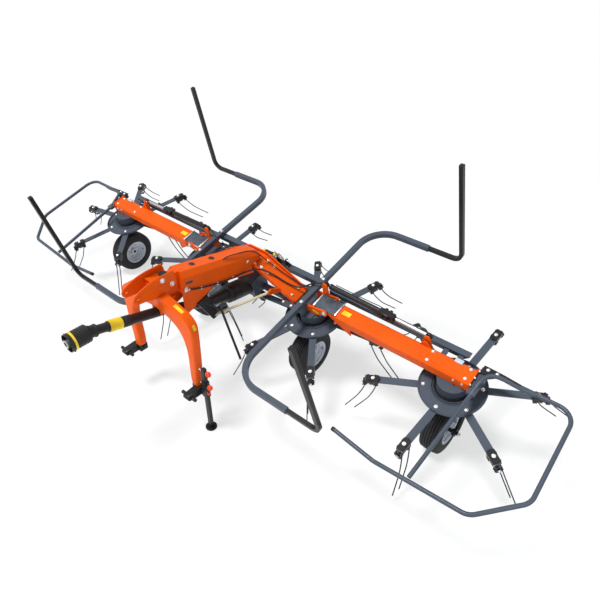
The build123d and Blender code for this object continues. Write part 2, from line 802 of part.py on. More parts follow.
# Lower link brackets with their pins
with BuildPart() as link_brackets:
    for side in (-1, 1):
        bracket_mid = (bracket_front + bracket_back) / 2
        with Locations(level(side * leg_half, bracket_mid, (bracket_low + bracket_top) / 2)):
            Box(bracket_wide, bracket_back - bracket_front, bracket_top - bracket_low)
        with Locations(level(side * leg_foot, leg_line, (bracket_low + bracket_top) / 2)):
            Box(bracket_wide, leg_depth, bracket_top - bracket_low)
        with Locations(level(side * leg_half, link_pin_y, link_pin_z, normal=(1, 0, 0), across=(0, 1, 0))):
            Cylinder(link_pin_radius, bracket_wide + link_pin_reach * 2)
save(link_brackets, "link_brackets")

# Parking stand in its socket beside the right bracket
with BuildPart() as stand_socket:
    with BuildSketch(level(stand_x, stand_y, socket_low)):
        Rectangle(socket_outer * 2, socket_outer * 2)
        Rectangle(stand_tube + run_fit * 2, stand_tube + run_fit * 2, mode=Mode.SUBTRACT)
    extrude(amount=socket_length)
    spacer_x = leg_half + (bracket_wide + stand_spacer) / 2
    with Locations(level(spacer_x, stand_y, (bracket_low + bracket_top) / 2)):
        Box(stand_spacer, stand_tube, spacer_height)
save(stand_socket, "stand_socket")

with BuildPart() as stand:
    with Locations(level(stand_x, stand_y, (stand_top + stand_foot_thick) / 2)):
        Box(stand_tube, stand_tube, stand_top - stand_foot_thick)
    with Locations(level(stand_x, stand_y, stand_foot_thick / 2)):
        Cylinder(stand_foot_radius, stand_foot_thick)
save(stand, "parking_stand")

# Drive shaft guard on the headstock and the turning yoke inside its bell
collar_y = shaft_joint_y + collar_length / 2
cuff_y = shaft_joint_y + (shaft_end - shaft_joint_y) * cuff_share
with BuildPart() as shaft_guard:
    with Locations(tube_middle):
        Cylinder(shaft_tube_radius, tube_run.length)
    with Locations(level(0, cuff_y, slope(cuff_y), normal=tuple(tube_run))):
        Cylinder(cuff_radius, cuff_length)
    with Locations(level(0, collar_y, slope(collar_y), normal=tuple(tube_run))):
        Cylinder(collar_radius, collar_length)
    with Locations(level(0, shaft_joint_y - bell_length / 2, shaft_joint_z, normal=(0, 1, 0))):
        Cylinder(bell_radius, bell_length)
        with Locations((0, 0, -bell_wall)):
            Cylinder(bell_radius - bell_wall, bell_length, mode=Mode.SUBTRACT)
    with Locations(level(0, shaft_joint_y, shaft_joint_z, normal=(0, 1, 0))):
        Cylinder(yoke_shaft_radius + run_fit, overrun * 2, mode=Mode.SUBTRACT)
save(shaft_guard, "shaft_guard")

yoke_middle = level(0, shaft_front + yoke_length / 2, shaft_joint_z, normal=(0, 1, 0))
yoke_tail_y = shaft_front + yoke_length + yoke_shaft_length / 2
yoke_tail = level(0, yoke_tail_y, shaft_joint_z, normal=(0, 1, 0))
with BuildPart() as yoke:
    with Locations(yoke_middle):
        Cylinder(yoke_radius, yoke_length)
    with Locations(yoke_tail):
        Cylinder(yoke_shaft_radius, yoke_shaft_length)
    with Locations(level(0, shaft_front + yoke_bore_depth / 2, shaft_joint_z, normal=(0, 1, 0))):
        Cylinder(yoke_bore, yoke_bore_depth, mode=Mode.SUBTRACT)
save(yoke, "shaft_yoke")

# Outer arms
root_end = beam_start + beam_width
beam_low = beam_top - beam_depth
for side, name in ((-1, "left"), (1, "right")):
    with BuildPart() as beam:
        with BuildSketch(spot(side * beam_start, beam_mid, beam_top, normal=(side, 0, 0), across=(0, side, 0))):
            with BuildLine():
                Polyline(
                    (-beam_width / 2, -beam_depth),
                    (-beam_width / 2, -beam_chamfer),
                    (-beam_width / 2 + beam_chamfer, 0),
                    (beam_width / 2 - beam_chamfer, 0),
                    (beam_width / 2, -beam_chamfer),
                    (beam_width / 2, -beam_depth),
                    close=True,
                )
            make_face()
        extrude(amount=beam_end - beam_start)
        for ear_y in ear_places:
            with BuildSketch(spot(0, ear_y, 0, normal=(0, -side, 0), across=(side, 0, 0))):
                with BuildLine():
                    Polyline(
                        (hinge_x, hinge_z - ear_radius),
                        (root_end, hinge_z - root_depth),
                        (root_end, beam_top - beam_chamfer),
                        (beam_start, beam_top - beam_chamfer),
                        (hinge_x, hinge_z + ear_radius - run_fit),
                        close=True,
                    )
                make_face()
                with Locations((hinge_x, hinge_z)):
                    Circle(ear_radius)
                    Circle(hinge_pin_radius + run_fit, mode=Mode.SUBTRACT)
            extrude(amount=ear_thick / 2, both=True)
        with BuildSketch(spot(0, beam_rear + ear_thick / 2, 0, normal=(0, -side, 0), across=(side, 0, 0))):
            with BuildLine():
                Polyline(
                    (ram_out_x - lug_width, beam_low),
                    (ram_out_x + lug_width, beam_low),
                    (ram_out_x + ram_eye_radius, ram_out_z),
                    (ram_out_x - ram_eye_radius, ram_out_z),
                    close=True,
                )
            make_face()
            with Locations((ram_out_x, ram_out_z)):
                Circle(ram_eye_radius)
        extrude(amount=ear_thick / 2, both=True)
        with Locations(spot(side * (beam_end + end_plate_thick / 2), beam_mid, beam_top - beam_depth / 2)):
            Box(end_plate_thick, beam_width + clear * 2, beam_depth + clear * 2)
    save(beam, f"outer_beam_{name}")

    with BuildPart() as cover:
        with Locations(spot(side * (hinge_x + cover_outer_end) / 2, beam_mid, beam_top + cover_thick / 2)):
            Box(cover_outer_end - hinge_x, cover_width, cover_thick)
    save(cover, f"outer_cover_{name}")

    outer_centre = side * rotor_places[-1] * rotor_spacing
    with BuildPart() as outer_housing:
        with Locations(spot(outer_centre, 0, (beam_low + housing_bottom) / 2)):
            Cylinder(housing_radius, beam_low - housing_bottom)
        with Locations(spot(outer_centre, 0, (housing_bottom + post_bottom) / 2)):
            Cylinder(post_radius, housing_bottom - post_bottom)
    save(outer_housing, f"outer_housing_{name}")

    # Open channel behind the beam, its outer end cut back, with two struts to the beam
    with BuildPart() as channel:
        with BuildSketch(spot(0, channel_y, 0, normal=(0, -side, 0), across=(side, 0, 0))):
            with BuildLine():
                Polyline(
                    (channel_start, channel_top),
                    (channel_end, channel_top),
                    (channel_end - channel_depth, channel_top - channel_depth),
                    (channel_start, channel_top - channel_depth),
                    close=True,
                )
            make_face()
        extrude(amount=channel_width / 2, both=True)
        hollow = channel_width - channel_wall * 2
        hollow_mid = side * (channel_start + channel_end) / 2
        with Locations(spot(hollow_mid, channel_y, channel_top - channel_depth / 2 - channel_wall)):
            Box(channel_end, hollow, channel_depth, mode=Mode.SUBTRACT)
        strut_rear = channel_y - channel_width / 2
        for strut_x in (ram_out_x + lug_width * 2, channel_end - lug_width):
            with Locations(spot(side * strut_x, (beam_rear + strut_rear) / 2, channel_top - channel_depth / 2)):
                Box(channel_strut, strut_rear - beam_rear, channel_wall * 2)
    save(channel, f"guard_channel_{name}")

    with BuildPart() as hoop:
        with BuildLine() as run:
            FilletPolyline(*[lift((side * x, y, z)) for x, y, z in hoop_points], radius=hoop_bend)
        with BuildSketch(Plane(origin=run.line @ 0, z_dir=run.line % 0)):
            Circle(hoop_tube / 2)
        sweep(path=run.line)
        with BuildLine() as brace:
            Polyline(*[lift((side * x, y, z)) for x, y, z in (brace_start, brace_end)])
        with BuildSketch(Plane(origin=brace.line @ 0, z_dir=brace.line % 0)):
            Circle(hoop_tube / 2)
        sweep(path=brace.line)
        bracket_x = side * (beam_end + end_plate_thick + bracket_length / 2)
        bracket_run = hoop_points[-1][1] - brace_start[1] + hoop_tube
        with Locations(spot(bracket_x, beam_mid, hoop_points[-1][2] - bracket_height / 4)):
            Box(bracket_length, bracket_run, bracket_height)
        with BuildSketch(spot(0, 0, hoop_points[-1][2], normal=(0, 0, side), across=(side, 0, 0))):
            with BuildLine():
                Polyline(
                    (beam_end + end_plate_thick, hoop_points[-1][1] - hoop_tube),
                    (beam_end + end_plate_thick, hoop_points[-1][1]),
                    (beam_end + gusset_length, hoop_points[-1][1]),
                    (beam_end + bracket_length, hoop_points[-1][1] - gusset_length / 2),
                    close=True,
                )
            make_face()
        extrude(amount=gusset_thick / 2, both=True)
    save(hoop, f"outer_hoop_{name}")

    # Folding cylinder: barrel with its port block, and the rod
    ram_run = Vector(side * (ram_out_x - ram_in_x), 0, ram_out_z - ram_in_z)
    ram_axis = spot(side * ram_in_x, ram_y, ram_in_z, normal=tuple(ram_run), across=(0, 1, 0))
    with BuildPart() as barrel:
        with Locations(spot(side * ram_in_x, ram_y, ram_in_z, normal=(0, 1, 0))):
            Cylinder(ram_eye_radius, ram_eye_width)
        with Locations(ram_axis):
            with Locations((0, 0, (barrel_neck + barrel_length) / 2)):
                Cylinder(barrel_radius, barrel_length - barrel_neck)
            with Locations((0, 0, barrel_neck / 2)):
                Cylinder(neck_pin_radius, barrel_neck)
            with Locations((0, 0, barrel_length - block_length / 2)):
                Box(block_width, block_height, block_length)
            with Locations((0, 0, barrel_length - barrel_bore_depth / 2)):
                Cylinder(ram_rod_radius + run_fit, barrel_bore_depth, mode=Mode.SUBTRACT)
        with Locations(spot(side * ram_in_x, ram_y, ram_in_z, normal=(0, 1, 0))):
            Cylinder(hinge_pin_radius + run_fit, ram_eye_width + overrun, mode=Mode.SUBTRACT)
    save(barrel, f"ram_barrel_{name}")

    with BuildPart() as rod:
        rod_begin = barrel_length - rod_inside
        with Locations(ram_axis):
            with Locations((0, 0, (rod_begin + ram_run.length) / 2)):
                Cylinder(ram_rod_radius, ram_run.length - rod_begin)
        with Locations(spot(side * ram_out_x, ram_y, ram_out_z, normal=(0, 1, 0))):
            Cylinder(ram_eye_radius, ram_eye_width)
    save(rod, f"ram_rod_{name}")
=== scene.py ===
"""Hay tedder: finishes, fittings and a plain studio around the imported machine."""
import json
from math import cos, pi, radians, sin, tau

import bpy
from mathutils import Matrix, Vector


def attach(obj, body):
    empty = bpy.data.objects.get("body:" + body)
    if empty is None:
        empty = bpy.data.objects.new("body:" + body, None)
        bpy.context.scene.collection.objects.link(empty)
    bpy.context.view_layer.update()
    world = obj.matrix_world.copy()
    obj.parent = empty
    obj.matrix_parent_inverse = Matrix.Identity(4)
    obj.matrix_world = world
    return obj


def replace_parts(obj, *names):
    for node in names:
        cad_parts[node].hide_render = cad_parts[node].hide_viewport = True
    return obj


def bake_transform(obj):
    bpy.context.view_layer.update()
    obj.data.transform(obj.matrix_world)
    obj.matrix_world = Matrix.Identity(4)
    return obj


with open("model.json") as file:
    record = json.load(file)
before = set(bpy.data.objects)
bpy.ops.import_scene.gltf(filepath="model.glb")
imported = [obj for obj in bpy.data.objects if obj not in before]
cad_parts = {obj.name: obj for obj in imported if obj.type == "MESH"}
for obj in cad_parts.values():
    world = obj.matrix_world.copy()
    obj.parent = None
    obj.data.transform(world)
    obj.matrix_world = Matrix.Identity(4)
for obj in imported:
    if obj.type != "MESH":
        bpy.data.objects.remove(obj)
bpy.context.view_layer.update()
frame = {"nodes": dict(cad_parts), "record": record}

bl_info = {
    "name": "Hay Tedder",
    "version": (1, 0, 0),
    "blender": (4, 5, 0),
    "location": "View3D > Sidebar > Hay Tedder",
    "description": "Finishes and fittings of a mounted hay tedder",
    "category": "Object",
}

ROTOR_LINE = 0.436001          # rotor posts against the middle of the machine's length
DISC_HEIGHT = 0.562
LEAN = Matrix.Translation((0, ROTOR_LINE, DISC_HEIGHT)) @ Matrix.Rotation(radians(15), 4, "X")
LEVEL = Matrix.Translation((0, ROTOR_LINE, 0))
SPACING = 1.27
ROTORS = (                     # name, place along the row, angle of the first arm, turning sense
    ("left_outer", -1.5, 9.0, 1),
    ("left_inner", -0.5, 26.6, -1),
    ("right_inner", 0.5, 5.6, 1),
    ("right_outer", 1.5, 26.0, -1),
)
SIDES = (("left", -1), ("right", 1))
AXLE = (-0.05, 0.21)           # wheel axles: behind the rotor posts, above the ground
RAILS = (-0.887, 0.95)         # guard rails before and behind the row
TOP_PIN = (-1.228, 1.136)      # upper hitch pin: before the row, above the ground
STAND = (0.47205, -1.062)      # middle of the stand's tube
COIL_DROP = -0.038             # tine coils below the rotor's disc
MERGE = 0.00001                # points closer than this become one
SMOOTH = 38                    # edges flatter than this many degrees are shaded smooth


# Sizes and colours that a user would change

def colour(name, about, value):
    """One paint or material colour, linear."""
    return bpy.props.FloatVectorProperty(
        name=name, description=about, default=value, subtype="COLOR", size=3, min=0, max=1)


def size(name, about, value):
    """One length in metres."""
    return bpy.props.FloatProperty(
        name=name, description=about, default=value, min=0, unit="LENGTH", subtype="DISTANCE")


def number(name, about, value):
    """One whole number."""
    return bpy.props.IntProperty(name=name, description=about, default=value, min=1)


class TedderColours(bpy.types.PropertyGroup):
    """Paints and bare materials."""
    orange: colour("Orange", "Enamel of the beams, boom and headstock", (0.80, 0.100, 0.003))
    slate: colour("Slate", "Enamel of the rotors, guards and legs", (0.060, 0.075, 0.101))
    black: colour("Black", "Enamel of brackets and stands", (0.012, 0.012, 0.014))
    spring: colour("Spring", "Coated tine wire", (0.022, 0.024, 0.030))
    rim: colour("Rim", "Enamel of the wheel rims", (0.52, 0.57, 0.63))
    rubber: colour("Rubber", "Tyres", (0.012, 0.012, 0.013))
    cover: colour("Cover", "Flexible covers over the hinges", (0.040, 0.048, 0.062))
    plastic: colour("Plastic", "Shaft guards and bellows", (0.012, 0.012, 0.013))
    steel: colour("Steel", "Bare machined steel", (0.62, 0.62, 0.62))
    zinc: colour("Zinc", "Plated bolts and clips", (0.78, 0.79, 0.78))
    cream: colour("Cream", "Old enamel of the control rod", (0.56, 0.49, 0.33))
    red: colour("Red", "Plastic rings on the stand's pins", (0.75, 0.05, 0.012))
    label: colour("Label", "Blank yellow labels", (0.80, 0.52, 0.02))


# Node helpers

def new_material(name):
    """An empty node material; returns the material, its tree and its shader."""
    material = bpy.data.materials.new(name)
    material.use_nodes = True
    tree = material.node_tree
    return material, tree, tree.nodes["Principled BSDF"]


def give(tree, made, **inputs):
    """Set or link a node's inputs by name."""
    for key, value in inputs.items():
        socket = made.inputs[key.replace("_", " ")]
        if isinstance(value, bpy.types.NodeSocket):
            tree.links.new(value, socket)
        else:
            socket.default_value = value
    return made


def node(tree, kind, **inputs):
    """Add a node and give it its inputs."""
    return give(tree, tree.nodes.new(kind), **inputs)


def noise(tree, scale, detail=3.0, stretch=(1, 1, 1)):
    """Noise on the object's own coordinates."""
    place = tree.nodes.new("ShaderNodeTexCoord").outputs["Object"]
    mapping = node(tree, "ShaderNodeMapping", Vector=place, Scale=stretch)
    return node(tree, "ShaderNodeTexNoise", Vector=mapping.outputs["Vector"], Scale=scale, Detail=detail,
                Roughness=0.55).outputs["Fac"]


def ramp(tree, value, low, high, start=0, end=1):
    """Spread a value between two numbers."""
    return node(tree, "ShaderNodeMapRange", Value=value, From_Min=low, From_Max=high, To_Min=start,
                To_Max=end).outputs["Result"]


def mix(tree, factor, first, second):
    """Blend two colours."""
    made = tree.nodes.new("ShaderNodeMix")
    made.data_type = "RGBA"
    tree.links.new(factor, made.inputs[0])
    for socket, value in ((made.inputs[6], first), (made.inputs[7], second)):
        if isinstance(value, bpy.types.NodeSocket):
            tree.links.new(value, socket)
        else:
            socket.default_value = (*value, 1)
    return made.outputs[2]


def bump(tree, height, strength, distance):
    """The surface's normal, raised by a height value."""
    made = node(tree, "ShaderNodeBump", Height=height, Strength=strength, Distance=distance)
    return made.outputs["Normal"]


def background_rays(tree):
    """One for rays that show the background: the camera's, mirrored and passed-through ones."""
    path = tree.nodes.new("ShaderNodeLightPath")
    total = path.outputs["Is Camera Ray"]
    for kind in ("Is Glossy Ray", "Is Transmission Ray"):
        step = node(tree, "ShaderNodeMath", Value=total)
        step.operation = "MAXIMUM"
        tree.links.new(path.outputs[kind], step.inputs[1])
        total = step.outputs[0]
    return total


def shown(tree, share, lit, seen, output):
    """Lead a mix of the lit and the seen shader to the output."""
    made = node(tree, "ShaderNodeMixShader", Fac=share)
    tree.links.new(lit.outputs[0], made.inputs[1])
    tree.links.new(seen.outputs[0], made.inputs[2])
    give(tree, tree.nodes[output], Surface=made.outputs[0])


def tint(value, share):
    """A lighter or darker shade of a colour."""
    return tuple(min(1.0, part * share) for part in value)


# Finishes

def enamel(name, paint, rough, coat, gloss=0.2):
    """Sprayed enamel: faint clouding, orange peel, fine handling marks."""
    material, tree, shader = new_material(name)
    cloud = noise(tree, 3.0, 4.0)
    marks = noise(tree, 38.0, 6.0, stretch=(1, 4, 4))
    shade = mix(tree, ramp(tree, cloud, 0.3, 0.7), tint(paint, 0.9), tint(paint, 1.08))
    worn = mix(tree, ramp(tree, marks, 0.6, 0.78, 0, 0.35), shade, tint(paint, 1.35))
    give(tree, shader, Base_Color=worn, Specular_IOR_Level=gloss, Coat_Weight=coat, Coat_Roughness=0.12,
         Roughness=ramp(tree, marks, 0.3, 0.75, rough - 0.05, rough + 0.12),
         Normal=bump(tree, noise(tree, 420.0, 2.0), 0.12, 0.0006))
    return material


def rubber(name, base, rough):
    """Moulded rubber with dusty clouding and a fine grain."""
    material, tree, shader = new_material(name)
    dust = noise(tree, 14.0, 6.0)
    shade = mix(tree, ramp(tree, dust, 0.35, 0.75), base, tint(base, 2.4))
    give(tree, shader, Base_Color=shade, Specular_IOR_Level=0.25,
         Roughness=ramp(tree, dust, 0.3, 0.7, rough, rough + 0.18),
         Normal=bump(tree, noise(tree, 300.0, 4.0), 0.25, 0.0008))
    return material


def plastic(name, base, rough):
    """Moulded plastic with a fine leathery grain."""
    material, tree, shader = new_material(name)
    grain = noise(tree, 240.0)
    shade = mix(tree, ramp(tree, noise(tree, 9.0, 4.0), 0.3, 0.7), tint(base, 0.85), tint(base, 1.5))
    give(tree, shader, Base_Color=shade, Specular_IOR_Level=0.3,
         Roughness=ramp(tree, grain, 0.3, 0.7, rough - 0.05, rough + 0.08),
         Normal=bump(tree, grain, 0.2, 0.0005))
    return material


def metal(name, base, rough, stretch):
    """Bare or plated metal with turning marks and slight staining."""
    material, tree, shader = new_material(name)
    lines = noise(tree, 60.0, 4.0, stretch=stretch)
    stain = noise(tree, 22.0, 5.0)
    shade = mix(tree, ramp(tree, stain, 0.35, 0.75), base, tint(base, 0.72))
    give(tree, shader, Base_Color=shade, Metallic=1.0,
         Roughness=ramp(tree, lines, 0.3, 0.7, rough - 0.06, rough + 0.14),
         Normal=bump(tree, lines, 0.1, 0.0004))
    return material


FINISHES = {}


def finishes():
    """Make each finish once and keep it by name."""
    if not FINISHES:
        own = bpy.context.scene.tedder_colours
        FINISHES.update(
            orange_paint=enamel("orange_enamel", own.orange, 0.38, 0.04, 0.12),
            slate_paint=enamel("slate_enamel", own.slate, 0.40, 0.10),
            black_paint=enamel("black_enamel", own.black, 0.36, 0.10),
            spring_steel=enamel("tine_coating", own.spring, 0.45, 0.1),
            rim_paint=enamel("rim_enamel", own.rim, 0.4, 0.2),
            tyre_rubber=rubber("tyre_compound", own.rubber, 0.62),
            cover_rubber=rubber("cover_sheet", own.cover, 0.5),
            black_plastic=plastic("guard_plastic", own.plastic, 0.42),
            bright_steel=metal("machined_steel", own.steel, 0.28, (1, 14, 14)),
            zinc=metal("zinc_plate", own.zinc, 0.3, (1, 1, 1)),
            cream_paint=enamel("cream_enamel", own.cream, 0.5, 0.05),
            red=plastic("red_plastic", own.red, 0.35),
            label=plastic("label_film", own.label, 0.4),
        )
    return FINISHES


# Places

def facing(place, normal=(0, 0, 1), across=(1, 0, 0)):
    """Place whose z axis runs along the normal and whose x axis leans towards across."""
    up = Vector(normal).normalized()
    if abs(up.dot(Vector(across).normalized())) > 0.98:
        across = (0, 1, 0)
    side = (Vector(across) - up * up.dot(Vector(across))).normalized()
    turn = Matrix((side, up.cross(side), up)).transposed().to_4x4()
    return Matrix.Translation(place) @ turn


def tipped(place, normal=(0, 0, 1), across=(1, 0, 0)):
    """A place given in the tipped frame of the rotor row."""
    return LEAN @ facing(place, normal, across)


def level(place, normal=(0, 0, 1), across=(1, 0, 0)):
    """A place given in the level frame of the wheels, the boom and the headstock."""
    return LEVEL @ facing(place, normal, across)


def mm(*points):
    """Points given in millimetres, handed back in metres."""
    return [tuple(value / 1000 for value in point) for point in points]


def mirrored(sign, points):
    """The same points on the left side (-1) or the right side (1)."""
    return [(sign * x, *others) for x, *others in points]


def around(count, radius, first=0.0):
    """Points spaced evenly on a circle."""
    turns = [first + tau * step / count for step in range(count)]
    return [(radius * cos(turn), radius * sin(turn)) for turn in turns]


def arms(rotor):
    """Places of a rotor's six arms, x running out along each."""
    axis = tipped((rotor[1] * SPACING, 0, 0))
    return [axis @ Matrix.Rotation(radians(rotor[2] + 60 * step), 4, "Z") for step in range(6)]


# Modelling helpers

def rest():
    """Leave nothing selected."""
    bpy.ops.object.select_all(action="DESELECT")


def pick(*pieces):
    """Select these pieces alone."""
    rest()
    for piece in pieces:
        piece.select_set(True)
    bpy.context.view_layer.objects.active = pieces[0]


def edit():
    """Open the active mesh with everything selected."""
    bpy.ops.object.mode_set(mode="EDIT")
    bpy.ops.mesh.select_all(action="SELECT")


def leave():
    """Close the open mesh and return its piece."""
    bpy.ops.object.mode_set(mode="OBJECT")
    return bpy.context.object


def outward():
    """Turn all faces of the open mesh outwards and close it."""
    bpy.ops.mesh.select_all(action="SELECT")
    bpy.ops.mesh.normals_make_consistent(inside=False)
    return leave()


def harden(piece, kind, **settings):
    """Add a modifier and apply it."""
    pick(piece)
    added = piece.modifiers.new(kind.title(), kind)
    for key, value in settings.items():
        setattr(added, key, value)
    bpy.ops.object.modifier_apply(modifier=added.name)
    return piece


def drawn(points):
    """Extrude one vertex from point to point; leaves the mesh open with everything selected."""
    rest()
    bpy.ops.mesh.primitive_plane_add(size=0.01)
    bpy.ops.object.mode_set(mode="EDIT")
    bpy.ops.mesh.merge(type="CENTER")
    bpy.ops.transform.translate(value=points[0])
    for start, end in zip(points, points[1:]):
        bpy.ops.mesh.extrude_region_move(TRANSFORM_OT_translate={"value": Vector(end) - Vector(start)})
    bpy.ops.mesh.select_all(action="SELECT")
    bpy.ops.mesh.remove_doubles(threshold=MERGE)


def doubled(half):
    """Half a profile followed by its mirror image across z = 0."""
    return [*half, *[(radius, -height) for radius, height in reversed(half)]]


def turned(profile, steps=32):
    """Spin a profile of (radius, height) points about z, closed first if it starts off the axis."""
    points = [(radius, 0, height) for radius, height in profile]
    drawn(points + (points[:1] if profile[0][0] else []))
    bpy.ops.mesh.spin(steps=steps, angle=tau, center=(0, 0, 0), axis=(0, 0, 1))
    bpy.ops.mesh.select_all(action="SELECT")
    bpy.ops.mesh.remove_doubles(threshold=MERGE)
    return outward()


def plate(outline, thick, edge=0.0008):
    """Fill an outline, extrude it to its thickness and ease its edges."""
    points = [(x, y, -thick / 2) for x, y in outline]
    drawn(points + points[:1])
    bpy.ops.mesh.edge_face_add()
    bpy.ops.mesh.extrude_region_move(TRANSFORM_OT_translate={"value": (0, 0, thick)})
    return harden(outward(), "BEVEL", width=edge, segments=1, limit_method="ANGLE")


def block(x, y, z, edge=0.002):
    """A box with eased edges."""
    rest()
    bpy.ops.mesh.primitive_cube_add(size=1)
    bpy.ops.object.mode_set(mode="EDIT")
    bpy.ops.transform.resize(value=(x, y, z))
    return harden(leave(), "BEVEL", width=edge, segments=2)


def bar(points, radius, sides=8, smooth=True):
    """Round bar or hose along points, as a mesh."""
    rest()
    run = bpy.data.curves.new("run", "CURVE")
    run.dimensions = "3D"
    run.bevel_depth = radius
    run.bevel_resolution = (sides - 4) // 2
    run.use_fill_caps = True
    run.resolution_u = 5
    spline = run.splines.new("NURBS" if smooth else "POLY")
    spline.points.add(len(points) - 1)
    for own, place in zip(spline.points, points):
        own.co = (*place, 1)
    if smooth:
        spline.order_u = 3
        spline.use_endpoint_u = True
    piece = bpy.data.objects.new("run", run)
    bpy.context.collection.objects.link(piece)
    pick(piece)
    bpy.ops.object.convert(target="MESH")
    return bpy.context.object


def bolt(radius, height):
    """Hexagon head on a washer, seated at z = 0."""
    thick = 0.002
    rest()
    bpy.ops.mesh.primitive_cylinder_add(
        vertices=12, radius=radius * 1.45, depth=thick, location=(0, 0, thick / 2))
    washer = harden(bpy.context.object, "BEVEL", width=0.0006, segments=1, limit_method="ANGLE")
    rest()
    bpy.ops.mesh.primitive_cylinder_add(
        vertices=6, radius=radius, depth=height, location=(0, 0, thick + height / 2))
    head = bpy.context.object
    bpy.ops.object.mode_set(mode="EDIT")
    bpy.ops.mesh.select_all(action="DESELECT")
    leave()
    for face in head.data.polygons:
        face.select = face.normal.z > 0.9
    bpy.ops.object.mode_set(mode="EDIT")
    bpy.ops.mesh.inset(thickness=radius * 0.22, depth=radius * 0.12)
    leave()
    return joined(washer, head)


def trimmed(piece, cuts):
    """Cut a piece at each plane, drop what lies on its normal's side and close the cut."""
    pick(piece)
    for place, normal in cuts:
        edit()
        bpy.ops.mesh.bisect(
            plane_co=place, plane_no=normal, use_fill=True, clear_outer=True, threshold=MERGE)
        leave()
    return piece


def bored(piece, radius, place=(0, 0, 0)):
    """Bore a round hole through a piece along z."""
    rest()
    bpy.ops.mesh.primitive_cylinder_add(vertices=28, radius=radius, depth=0.1, location=place)
    bore = joined(bpy.context.object)
    harden(piece, "BOOLEAN", object=bore, operation="DIFFERENCE", solver="EXACT")
    bpy.data.objects.remove(bore)
    return piece


def joined(*pieces):
    """Join pieces into one mesh with its place applied."""
    pick(*pieces)
    bpy.ops.object.transform_apply(location=True, rotation=True, scale=True)
    if len(pieces) > 1:
        bpy.ops.object.join()
    return bpy.context.object


def moved(piece, place):
    """Carry a piece to its place and apply it."""
    piece.matrix_world = place
    return joined(piece)


def twin(piece):
    """A copy of a piece with its own mesh."""
    copy = piece.copy()
    copy.data = piece.data.copy()
    bpy.context.collection.objects.link(copy)
    return copy


def spread(piece, places):
    """Set a copy of a piece in each place and join the copies."""
    copies = [twin(piece) for _ in places]
    for copy, place in zip(copies, places):
        copy.matrix_world = place
    bpy.data.objects.remove(piece)
    return joined(*copies)


def settle(piece, name, body, finish, edge=SMOOTH):
    """Name a finished piece, give it its finish and its body."""
    pick(piece)
    piece.name = name
    piece.data.name = name
    piece.data.materials.clear()
    piece.data.materials.append(finishes()[finish])
    bpy.ops.object.shade_smooth_by_angle(angle=radians(edge))
    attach(piece, body)
    return piece


def fit(piece, places, name, body, finish, edge=SMOOTH):
    """Settle a piece in its place, or copies of it in several places."""
    made = moved(piece, places) if isinstance(places, Matrix) else spread(piece, places)
    return settle(made, name, body, finish, edge)


def bolts(name, body, places, radius, height):
    """One group of like bolts on a body."""
    return fit(bolt(radius, height), places, name, body, "zinc")


class TEDDER_OT_paint_solids(bpy.types.Operator):
    """Give each carried-over solid the finish of its material slot"""
    bl_idname = "tedder.paint_solids"
    bl_label = "Paint the solids"

    def execute(self, context):
        """Fill the solids' material slots."""
        made = finishes()
        for part in frame["record"]["subparts"]:
            for own in frame["nodes"][part["node"]].material_slots:
                own.material = made[part["material_slot"]]
        return {"FINISHED"}


class TedderTines(bpy.types.PropertyGroup):
    """Spring tines and the clamps that hold them."""
    wire: size("Wire", "Thickness of the spring wire", 0.009)
    coil: size("Coil", "Outer radius of a coil", 0.031)
    turns: number("Turns", "Turns of wire in each coil", 3)
    clamp: size("Clamp", "Distance of the clamp from the rotor's axis", 0.579)


def hang_tines(context, rotor):
    """Wind the coils, bend the wires and hang a pair on every arm."""
    own = context.scene.tedder_tines
    wire = own.wire / 2
    wound = own.coil - wire
    pitch = own.wire * 1.08
    routes = (
        (own.clamp + 0.051, (0.684, 0.044, -0.165), (0.8, 0.062, -0.31)),
        (own.clamp - 0.0323, (0.604, 0.044, -0.185), (0.728, 0.062, -0.33)),
    )
    name, hand = rotor[0], rotor[3]
    spin = f"spin_{name}"
    made = []
    for middle, bend, tip in routes:
        rest()
        bpy.ops.mesh.primitive_circle_add(vertices=6, radius=wire,
            location=(wound, 0, -pitch * own.turns / 2), rotation=(pi / 2, 0, 0))
        coil = joined(bpy.context.object)
        harden(coil, "SCREW", axis="Z", angle=tau, screw_offset=pitch, iterations=own.turns, steps=14,
            render_steps=14)
        edit()
        bpy.ops.mesh.fill_holes(sides=6)
        made.append(moved(outward(), facing((middle, 0, COIL_DROP), (1, 0, 0), (0, -hand, 0))))
        start = Vector((middle, -hand * wound, COIL_DROP))
        bend, tip = (Vector((x, -hand * y, z)) for x, y, z in (bend, tip))
        near, past = start.lerp(bend, 0.82), bend.lerp(tip, 0.18)
        made.append(bar([start, start + Vector((0, 0, -0.02)), near, past, tip], wire, 6))
    tines = fit(joined(*made), arms(rotor), f"spring_tines_{name}", spin, "spring_steel", 60)
    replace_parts(tines, f"tines_{name}")

    core = turned(mm((0, -50), (11, -50), (11, 69), (0, 69)), 12)
    places = [arm @ facing((own.clamp, 0, COIL_DROP), (1, 0, 0)) for arm in arms(rotor)]
    fit(core, places, f"coil_cores_{name}", spin, "black_paint")
    places = [arm @ facing((own.clamp + at, 0, COIL_DROP), (at, 0, 0)) for arm in arms(rotor)
        for at in (-0.05, 0.069)]
    bolts(f"coil_bolts_{name}", spin, places, 0.0085, 0.006)


class TEDDER_OT_tines(bpy.types.Operator):
    """Wound spring tines with their bolts, two on each arm"""
    bl_idname = "tedder.tines"
    bl_label = "Spring tines"

    def execute(self, context):
        """Hang the tines of all four rotors."""
        for rotor in ROTORS:
            hang_tines(context, rotor)
        return {"FINISHED"}


